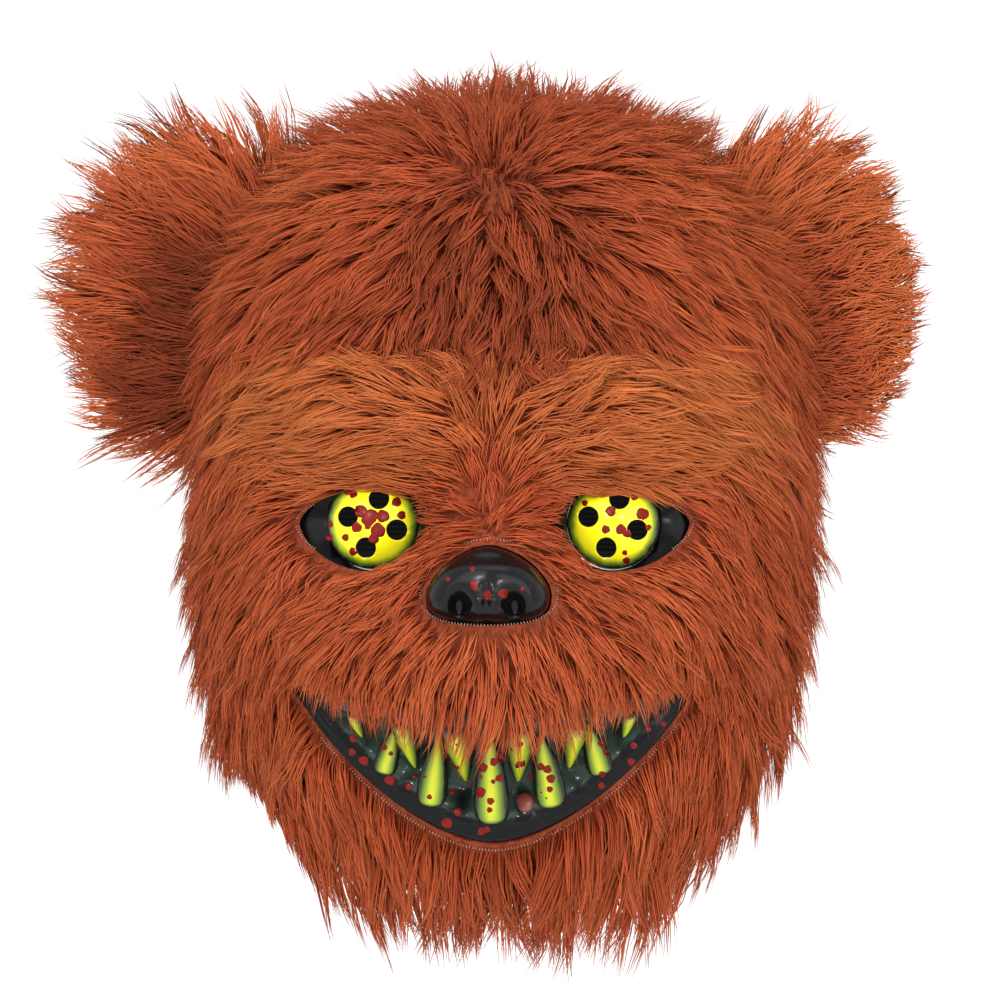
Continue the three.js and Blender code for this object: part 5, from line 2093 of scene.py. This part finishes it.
@dataclass
class FangRow:
    """The fangs in the mouth."""

    widest: float = 14.5
    flatness: float = 0.75
    stand_off: float = 1.0
    embedded: float = 0.7
    outline: tuple[tuple[float, float], ...] = (
        (0.0, 0.0), (0.5, 0.006), (0.78, 0.035), (0.94, 0.09), (1.0, 0.18), (0.98, 0.29), (0.91, 0.42),
        (0.8, 0.55), (0.65, 0.68), (0.46, 0.82), (0.26, 0.93), (0.11, 0.985), (0.0, 1.0),
    )

    def ends(self, fang: Fang) -> tuple[Vector, Vector]:
        """A fang's foot and point.

        Args:
            fang: The fang.

        Returns:
            The foot and the point, in millimetres.
        """
        x = fang.x * MOUTH.half_width
        lowest = float(MOUTH.lower(x)) + MOUTH.bead_width
        highest = float(MOUTH.upper(x)) - MOUTH.flange
        start, way = (highest, -1) if fang.upper else (lowest, 1)
        end = start + way * (highest - lowest) * fang.length
        found = []
        for z in (start, end):
            found.append(Vector(FACE.by_front(x, z, float(MOUTH.rise(x, z)) + self.stand_off)))
        return found[0], found[1]

    def edges(self, points: Array, radius: float, tall: float) -> Array:
        """How near each point is to the sides, the foot or the point, from 0 to about 1.

        Args:
            points: Places in the fang's own frame.
            radius: Its widest radius.
            tall: Its height.

        Returns:
            A value for each point.
        """
        share = points[:, 2] / tall
        chart = np.array(self.outline)
        local = np.maximum(np.interp(share, chart[:, 1], chart[:, 0]) * radius, 0.05 * radius)
        sides = np.where(np.abs(points[:, 0]) < 1e-3, 0, np.abs(points[:, 0]) / local)
        foot = 1.15 - share / 0.09
        return np.maximum(np.minimum(sides, 1.0), np.maximum(foot, 0))

    def seated(self, bm: Solid, tree: BVHTree) -> None:
        """Move what would stand behind the tray forward into its wall.

        Args:
            bm: The fang's mesh.
            tree: The surface to follow.
        """
        for vertex in bm.verts:
            hit = tree.ray_cast(Vector((vertex.co.x, -0.3, vertex.co.z)), Vector((0, 1, 0)))[0]
            if hit is not None:
                vertex.co.y = min(vertex.co.y, hit.y + self.embedded * MM)

    def build(self, looks: Wardrobe, tray: Piece) -> list[Piece]:
        """Make every fang, seated on the tray.

        Args:
            looks: The finishes.
            tray: The mouth tray.

        Returns:
            The fangs.
        """
        under = bmesh.new()
        under.from_mesh(tray.data)
        tree = BVHTree.FromBMesh(under)
        under.free()
        pieces = []
        for fang in FANGS:
            foot, point = self.ends(fang)
            tall = (point - foot).length
            radius = self.widest * fang.width / 2
            axis = (point - foot).normalized()
            bm = lathe([(r * radius, h * tall) for r, h in self.outline], Vector((0, 0, 1)), Vector(), 28)
            bmesh.ops.scale(bm, vec=(1, self.flatness, 1), verts=bm.verts)
            edges = self.edges(np.array([v.co[:] for v in bm.verts]) / MM, radius, tall)
            turn = Vector((0, 0, 1)).rotation_difference(axis).to_matrix().to_4x4()
            bmesh.ops.transform(bm, matrix=Matrix.Translation(foot * MM) @ turn, verts=bm.verts)
            self.seated(bm, tree)
            mesh = mesh_of(fang.name, bm)
            mark(mesh, "edge", edges)
            piece = finish_piece(f"{fang.name}_tooth", mesh, looks.fang, Slot.FANG)
            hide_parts(fang.name)
            pieces.append(piece)
        return pieces


@dataclass
class MouthTray:
    """The grinning lip bead and the recessed gum behind the fangs."""

    columns: int = 120
    rows: int = 44
    pit: float = 3.0
    gum_rise: float = 2.4
    gum_reach: float = 8.5
    gum_step: float = 3.0
    paint_reach: float = 3.0

    def surface(self, across: Array, up: Array, inset: float) -> Array:
        """Points of the tray's face, moved in by inset.

        Args:
            across: Shares of its width.
            up: Shares of its height.
            inset: How far in.

        Returns:
            The points.
        """
        x = MOUTH.half_width * MOUTH.tray_end * np.sin(math.pi * (across - 0.5))
        crowded = np.where(up < 0.5, up * (0.35 + 1.3 * up), up)
        z = MOUTH.lower(x) + (MOUTH.upper(x) - MOUTH.lower(x)) * crowded
        return FACE.by_front(x, z, MOUTH.rise(x, z) + self.gums(x, z) - inset)

    def gums(self, x: Array, z: Array) -> Array:
        """Swollen gums round the fangs' feet, and the pits of the breathing holes.

        Args:
            x: Places across.
            z: Heights.

        Returns:
            How far, in millimetres.
        """
        rise = np.zeros(x.shape)
        for fang in FANGS:
            centre = fang.x * MOUTH.half_width
            if fang.upper:
                foot = float(MOUTH.upper(centre)) - MOUTH.flange - self.gum_step
            else:
                foot = float(MOUTH.lower(centre)) + MOUTH.bead_width + self.gum_step
            reach = self.gum_reach * fang.width
            away = ((x - centre) / reach) ** 2 + ((z - foot) / reach) ** 2
            rise = rise + self.gum_rise * np.exp(-(away**1.5))
        rise = rise * ramp(z - MOUTH.lower(x) - MOUTH.bead_width * 0.8, 4.0)
        for share in MOUTH.breathing:
            centre = share * MOUTH.half_width
            height = float(MOUTH.lower(centre)) + MOUTH.bead_width + MOUTH.slope / 2
            away = np.hypot(x - centre, z - height) / MOUTH.breathing_radius
            rise = rise - self.pit / (1 + away**6)
        return rise

    def tint(self, points: Array) -> Array:
        """How strongly the green grey paint shows: near the fangs.

        Args:
            points: Places, in millimetres.

        Returns:
            A value from 0 to 1 for each point.
        """
        x, z = points[:, 0], points[:, 2]
        shade = np.zeros(len(points))
        row = FangRow()
        for fang in FANGS:
            foot, point = row.ends(fang)
            along = np.clip((z - foot.z) / (point.z - foot.z), 0, 1)
            half = row.widest * fang.width / 2 * (1 - 0.6 * along)
            away = np.maximum(np.abs(x - foot.x) - half, 0)
            away = away + np.maximum(np.abs(z - foot.z) - abs(point.z - foot.z), 0)
            shade = np.maximum(shade, np.exp(-((away / self.paint_reach) ** 2)))
        return shade * (z > MOUTH.lower(x) + MOUTH.bead_width * 0.9)

    def build(self, looks: Wardrobe) -> Piece:
        """Make the tray.

        Args:
            looks: The finishes.

        Returns:
            The tray.
        """
        wall = walled_sheet(self.columns, self.rows, self.surface, 0.0, MOUTH.wall)
        mesh = mesh_of("mouth_tray", wall)
        ahead = np.array([vertex.normal.y < 0.2 for vertex in mesh.vertices])
        mark(mesh, "tint", self.tint(places_of(mesh)) * ahead)
        piece = finish_piece("mouth_tray_moulding", mesh, looks.tray, Slot.SHELL)
        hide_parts("mouth_tray")
        return piece


@dataclass(frozen=True)
class Spot:
    """A painted spot, seen from the front."""

    x: float
    z: float
    radius: float


def spots(*rows: tuple[float, float, float]) -> tuple[Spot, ...]:
    """A short chart of spots: x, z and radius."""
    return tuple(Spot(*row) for row in rows)


EYE_LEFT_SPOTS = spots(
    (47.2, 12.8, 2), (50, 13.2, 1.6), (56, 10.4, 1.4), (48.8, 8.4, 1.6), (52, 8.8, 1.4), (46.8, 4.8, 2),
    (36.4, 8, 1.2), (35.6, 6, 1.2), (44.8, -2.4, 1.6), (50.8, -2.4, 2), (53.2, -4, 1.6), (54.8, -1.6, 1.2),
    (58.8, -0.6, 1.2), (61.4, -1.6, 1.2), (59.2, 3.6, 2.4), (37.2, 1.2, 1.8), (40, -0.6, 0.8),
    (52.2, -11.6, 1), (52.8, -14.8, 1.4), (42.8, -8.8, 1.8),
)
EYE_RIGHT_SPOTS = spots(
    (-48, 2.8, 2.8), (-52, 4.8, 2.4), (-43.2, 2.8, 2.4), (-45.2, -2.8, 2.8), (-46.8, -6, 2),
    (-49.2, 1.2, 2.4),
    (-60, 13.6, 1.6), (-57.6, 12.8, 1.6), (-55.2, 11.6, 1.6), (-53.6, -1.6, 2), (-64.4, -0.4, 1.2),
    (-58.2, -5.6, 1.4), (-64.8, -5.6, 1.4), (-61.6, -12, 1.2), (-55.2, -11.2, 1.6), (-49.2, -1.2, 1.2),
    (-38, 8.4, 1.8), (-36, 3.2, 1.6),
)
MOUTH_SPOTS = spots(
    (-3, -95.9, 1.8), (1.4, -93.6, 1.6), (3.7, -91.8, 1.6), (-3.9, -99.6, 0.8), (3.4, -100.1, 1.5),
    (1, -101.4, 0.9), (-4.2, -105.7, 2.1), (-0.2, -109.2, 1.4), (-0.6, -112.7, 1.1), (19.6, -95.7, 1.5),
    (22.2, -96.7, 1.6), (15.5, -99.9, 1.6), (23.5, -100.4, 1.7), (23, -104.6, 1.2), (24.6, -93.1, 0.6),
    (19.6, -105.9, 0.4), (21.6, -108.2, 0.4), (12.1, -93.9, 1.7), (10.4, -95.2, 0.9), (8.8, -88.3, 0.8),
    (12.1, -86.1, 1.3), (-26.3, -99.8, 0.6), (-24.5, -107.8, 1), (43.2, -86.7, 1.4), (45.1, -90.3, 1.3),
    (43.4, -98.8, 1.2), (43.6, -81.5, 0.8), (43, -103.6, 1.3), (-42.7, -88.3, 1.3), (-39.9, -90.8, 0.9),
    (-40.7, -101.4, 2), (-51.1, -93.9, 1.9), (-55.2, -85.1, 1.5), (-55.7, -90.5, 1.5), (-30.6, -99.7, 1),
    (-33, -104, 1.4), (-18, -118.4, 2.1), (-13.7, -114, 1.5), (-9.1, -102.9, 0.9), (-15.9, -105.9, 1.1),
    (-4.3, -121.6, 1.5), (-2.2, -120.7, 1.4), (-13.4, -95.6, 1), (-17.7, -91.8, 0.9), (-12.6, -86.4, 0.5),
    (54.6, -94.2, 1.5), (55.7, -87.7, 1.3), (61.6, -81.3, 1), (67.3, -79.2, 1.1), (31, -96.3, 0.9),
    (56.2, -79.2, 1),
)
NOSE_SPOTS = spots(
    (-5.3, -17.5, 1), (-4.7, -23.5, 1.5), (-4.2, -24.8, 1.2), (0.4, -27.2, 1.4), (0.6, -28.7, 1.1),
    (6.6, -27.2, 1.8), (-15, -21.4, 0.9), (14, -25.3, 0.8),
)


@dataclass
class Splatter:
    """Drops of red enamel that follow the surface under them."""

    name: str
    chart: tuple[Spot, ...]
    slot: Slot
    look: str = "spots"
    thickness: float = 0.14
    sides: int = 16
    grow: float = 1.05
    profile: tuple[tuple[float, float], ...] = ((1.0, -0.35), (1.0, 0.05), (0.75, 0.75), (0.35, 1.0))

    def build(self, under: list[Piece], looks: Wardrobe) -> None:
        """Make the drops on the pieces under them.

        Args:
            under: The pieces under it.
            looks: The finishes.
        """
        bm = bmesh.new()
        for piece in under:
            bm.from_mesh(piece.data)
        tree = BVHTree.FromBMesh(bm)
        bm.free()
        drops = bmesh.new()
        for number, spot in enumerate(self.chart):
            self.drop(drops, tree, spot, number)
        piece = finish_piece(self.name, mesh_of(self.name, drops), getattr(looks, self.look), self.slot)
        log.info("%s on %s", piece.name, ", ".join(target.name for target in under))

    def drop(self, bm: Solid, tree: BVHTree, spot: Spot, number: int) -> None:
        """Add one drop: a low dome over the surface, closed under it.

        Args:
            bm: The mesh to add to.
            tree: The surface to follow.
            spot: The spot.
            number: Its place in the chart.
        """
        def on_surface(x: float, z: float) -> Vector | None:
            """The surface's place at (x, z), seen from the front."""
            return tree.ray_cast(Vector((x, -300, z)) * MM, Vector((0, 1, 0)))[0]

        middle = on_surface(spot.x, spot.z)
        if middle is None:
            return
        rings = []
        for share, rise in self.profile:
            ring = []
            for side in range(self.sides):
                turn = 2 * math.pi * side / self.sides
                ragged = 1 + 0.07 * math.sin(3 * turn + number) + 0.05 * math.sin(5 * turn + 2.1 * number)
                x = spot.x + self.grow * spot.radius * share * ragged * math.cos(turn)
                z = spot.z + self.grow * spot.radius * share * ragged * math.sin(turn)
                point = on_surface(x, z)
                if point is None or abs(point.y - middle.y) > 0.6 * spot.radius * MM + 0.0012:
                    point = Vector((x * MM, middle.y, z * MM))
                ring.append(bm.verts.new(point - Vector((0, rise * self.thickness * MM, 0))))
            rings.append(ring)
        close_rings(bm, rings)


@dataclass
class Stitching:
    """Short overcast stitches along the plush's cut edges."""

    pitch: float = 1.3
    length: float = 1.1
    radius: float = 0.17
    arch: float = 0.55
    sides: int = 6
    seed: int = 5

    def along(self, name: str, points: Array, looks: Wardrobe, closed: bool = False) -> None:
        """Make the stitches along a line of points.

        Args:
            name: The piece's name.
            points: The line, in millimetres.
            looks: The finishes.
            closed: Whether the line comes back to its start.
        """
        if closed:
            points = np.concatenate([points, points[:1]])
        lengths = travelled(points)
        rng = np.random.default_rng(self.seed)
        bm = bmesh.new()
        for place_ in np.arange(0, lengths[-1], self.pitch):
            here = at_length(points, lengths, place_)
            ahead = at_length(points, lengths, place_ + 0.5)
            normal = FACE.normals(here[None, :])[0]
            run = unit(ahead - here + 1e-9)
            across = unit(np.cross(normal, run) + run * rng.uniform(-0.5, 0.5))
            half = self.length * rng.uniform(0.35, 0.6)
            self.stitch(bm, Vector(here), Vector(across), Vector(normal), half)
        finish_piece(name, mesh_of(name, bm), looks.thread, Slot.PLUSH)

    def stitch(self, bm: Solid, middle: Vector, across: Vector, normal: Vector, half: float) -> None:
        """Add one bent thread, closed at both ends.

        Args:
            bm: The mesh to add to.
            middle: Its middle.
            across: The way that it runs.
            normal: The surface's normal.
            half: Half its length.
        """
        rings = []
        for share in (-1.0, -0.5, 0.0, 0.5, 1.0):
            centre = middle + across * half * share + normal * (self.arch * (1 - share**2))
            ring = []
            for side in range(self.sides):
                turn = 2 * math.pi * side / self.sides
                out = normal * math.cos(turn) + across.cross(normal) * math.sin(turn)
                size = self.radius * (0.6 if abs(share) == 1.0 else 1.0)
                ring.append(bm.verts.new((centre + out * size) * MM))
            rings.append(ring)
        close_rings(bm, rings)

    def build(self, looks: Wardrobe) -> None:
        """Make the stitches at the lip, the nose, the eyes' outer corners and the brow's seam.

        Args:
            looks: The finishes.
        """
        x = np.linspace(-66, 72, 90)
        self.along("lip_stitching", FACE.by_front(x, MOUTH.lower(x) - 1.7, 3.5), looks)
        outline = NOSE.outline(1.1, 72)
        self.along("nose_stitching", FACE.by_front(outline[:, 0], outline[:, 1], 3.4), looks, closed=True)
        for side, name in ((1, "eye_left_stitching"), (-1, "eye_right_stitching")):
            almond = EYE.outline(side, 0.2, 60)
            corner = almond[np.abs(almond[:, 0]) > EYE.spacing / 2 + 22]
            chosen = corner[np.argsort(corner[:, 1])]
            self.along(name, FACE.by_front(chosen[:, 0], chosen[:, 1], 3.4), looks)
        seam = np.linspace(18, 50, 40)
        self.along("brow_seam_stitching", FACE.by_front(0.4 + 0 * seam, seam, 3.5), looks)


@dataclass
class Strap:
    """The elastic head strap and its two rivets."""

    width: float = 30.0
    thickness: float = 1.4
    height: float = 0.0
    back: float = 104.0
    lap: float = 18.0
    curve: float = 2.3
    slack: float = 0.1
    rivet_head: float = 4.2
    rivet_thickness: float = 1.0
    rivet_radius: float = 1.6

    def half_span(self) -> float:
        """How far the strap's inner face stands from the mid-plane."""
        lowest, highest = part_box("strap")
        return float(highest.x - lowest.x) / MM / 2 - self.thickness

    def path(self, along: Array, out: float) -> Array:
        """The strap's line in plan, moved out by out, for shares of its length.

        Args:
            along: Shares along it.
            out: How far out.

        Returns:
            Rows of x and y.
        """
        half = self.half_span()
        turn = math.pi * np.linspace(0, 1, 400)
        x, y = half * bend(np.cos(turn), self.curve), self.back * bend(np.sin(turn), self.curve)
        loop = np.stack([x, y], axis=-1)
        line = np.concatenate([[[half, -self.lap]], loop, [[-half, -self.lap]]])
        lengths = travelled(line)
        lengths = lengths / lengths[-1]
        step = 0.002
        run = unit(at_length(line, lengths, along + step) - at_length(line, lengths, along - step))
        return at_length(line, lengths, along) + np.stack([run[:, 1], -run[:, 0]], axis=-1) * out

    def surface(self, along: Array, up: Array, out: float) -> Array:
        """Points of the band."""
        plan = self.path(along, out)
        return np.stack([plan[:, 0], plan[:, 1], self.height + (up - 0.5) * self.width], axis=-1)

    def build(self, looks: Wardrobe) -> None:
        """Make the band and the rivets.

        Args:
            looks: The finishes.
        """
        band = walled_sheet(220, 10, self.surface, self.thickness - self.slack, self.slack)
        mesh = mesh_of("strap_band", band)
        uv = mesh.uv_layers.new(name="band")
        co = places_of(mesh)
        turn = np.arctan2(co[:, 1] + self.lap, co[:, 0]) / math.pi
        loops = np.zeros(len(mesh.loops), np.int32)
        mesh.loops.foreach_get("vertex_index", loops)
        flat = np.stack([turn, (co[:, 2] - self.height) / self.width + 0.5], axis=-1)
        uv.data.foreach_set("uv", flat[loops].astype(np.float32).ravel())
        piece = finish_piece("strap_band", mesh, looks.strap, Slot.STRAP)
        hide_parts("strap")
        for side, name in ((1, "strap_rivet_left"), (-1, "strap_rivet_right")):
            self.rivet(side, name, looks)

    def rivet(self, side: int, name: str, looks: Wardrobe) -> None:
        """Make one rivet with two domed heads.

        Args:
            side: 1 for left, -1 for right.
            name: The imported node's name.
            looks: The finishes.
        """
        lowest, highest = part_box(name)
        near, far = sorted((abs(lowest.x) / MM, abs(highest.x) / MM))
        centre = (lowest + highest) / 2 / MM
        head, thick, shank = self.rivet_head, self.rivet_thickness, self.rivet_radius
        dome = [
            (0.0, 0.0), (head * 0.5, 0.12), (head * 0.85, 0.4),
            (head, thick * 0.8), (head, thick), (shank, thick),
        ]
        tall = far - near
        profile = dome + [(radius, tall - height) for radius, height in dome[::-1]]
        bm = lathe(profile, Vector((side, 0, 0)), Vector((side * near, centre.y, centre.z)), 32)
        piece = finish_piece(f"{name}_steel", mesh_of(name, bm), looks.rivet, Slot.RIVET)
        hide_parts(name)


# The stage


@dataclass
class Studio:
    """A pale floor, soft lights and the camera at the photograph's angle."""

    distance: float = 3.2
    azimuth: float = 2.5
    aim: Three = (-0.0014, 0.0, 0.0092)
    frame_width: float = 0.4075
    sensor: float = 36.0
    floor_height: float = -0.45
    floor_radius: float = 2.6
    surroundings: float = 1.2

    def build(self) -> None:
        """Make the camera, the floor, the lights and the white surroundings."""
        self.camera()
        self.floor()
        self.light("key", (-0.8, -2.0, 0.9), 1.5, 15)
        self.light("fill", (1.2, -1.8, 0.5), 1.4, 13)
        self.light("top", (0.1, -0.6, 1.6), 1.2, 6)
        self.light("low", (0.0, -1.9, -0.5), 0.4, 3)
        self.light("spark_left", (-0.45, -2.2, 0.7), 0.12, 6.0)
        self.light("spark_right", (0.6, -2.2, 0.4), 0.1, 4.0)
        world = bpy.data.worlds.new("studio")
        world.use_nodes = True
        sky = world.node_tree.nodes["Background"]
        sky.inputs["Color"].default_value = (1.0, 1.0, 1.0, 1.0)
        sky.inputs["Strength"].default_value = self.surroundings
        bpy.context.scene.world = world
        bpy.context.scene.view_settings.view_transform = "Standard"

    def camera(self) -> None:
        """Make the camera."""
        data = bpy.data.cameras.new("camera")
        camera = link(bpy.data.objects.new("camera", data))
        aim = Vector(self.aim)
        turn = math.radians(self.azimuth)
        camera.location = aim + Vector((math.sin(turn), -math.cos(turn), 0)) * self.distance
        camera.rotation_euler = (aim - camera.location).to_track_quat("-Z", "Y").to_euler()
        data.sensor_width = self.sensor
        data.lens = self.sensor / (self.frame_width / self.distance)
        bpy.context.scene.camera = camera

    def floor(self) -> None:
        """Make the pale floor, a round sheet below the mask."""
        bm = bmesh.new()
        bmesh.ops.create_circle(bm, cap_ends=True, segments=96, radius=self.floor_radius)
        bmesh.ops.translate(bm, vec=(0, 0, self.floor_height), verts=bm.verts)
        sheet = link(bpy.data.objects.new("floor", mesh_of("floor", bm)))
        material, nodes, shader = Finish("floor_paper").start()
        nodes.dress(shader, (0.9, 0.9, 0.9), 0.9)
        sheet.data.materials.append(material)
        sheet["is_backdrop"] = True

    def light(self, name: str, place_: Three, size: float, power: float) -> None:
        """Make a soft square light that faces the mask.

        Args:
            name: The name.
            place_: Where it stands.
            size: Its width, in metres.
            power: Its power, in watts.
        """
        data = bpy.data.lights.new(name, "AREA")
        data.size = size
        data.energy = power
        lamp = link(bpy.data.objects.new(name, data))
        lamp.location = place_
        lamp.rotation_euler = (Vector(self.aim) - lamp.location).to_track_quat("-Z", "Y").to_euler()


def corners(bounds: tuple[Vector, Vector]) -> list[list[float]]:
    """A box's two corners as plain lists."""
    return [[float(value) for value in corner] for corner in bounds]


def main() -> None:
    """Build the mask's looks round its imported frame."""
    logging.basicConfig(level=logging.INFO, format="%(name)s: %(message)s")
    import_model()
    packed = corners(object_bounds())
    looks = Wardrobe()
    Studio().build()
    FaceShell().build(looks)
    for side, chart in ((1, EYE_LEFT_SPOTS), (-1, EYE_RIGHT_SPOTS)):
        dome = EyeDome(side)
        piece = dome.build(looks)
        Splatter(f"{dome.name}_spots", chart, Slot.EYE).build([piece], looks)
    nose = Nose().build(looks)
    Splatter("nose_spots", NOSE_SPOTS, Slot.SHELL).build([nose], looks)
    tray = MouthTray().build(looks)
    fangs = FangRow().build(looks, tray)
    Splatter("mouth_spots", MOUTH_SPOTS, Slot.FANG).build([tray, *fangs], looks)
    bead = Splatter("mouth_bead", spots((12.8, -110, 3.6)), Slot.FANG, look="bead", thickness=1.8)
    bead.build([tray], looks)
    Stitching().build(looks)
    Strap().build(looks)
    HeadPlush().build(looks)
    Ear(1).build(looks)
    Ear(-1).build(looks)
    {"cad": packed, "visual": corners(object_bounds())}


if __name__ == "__main__":
    main()
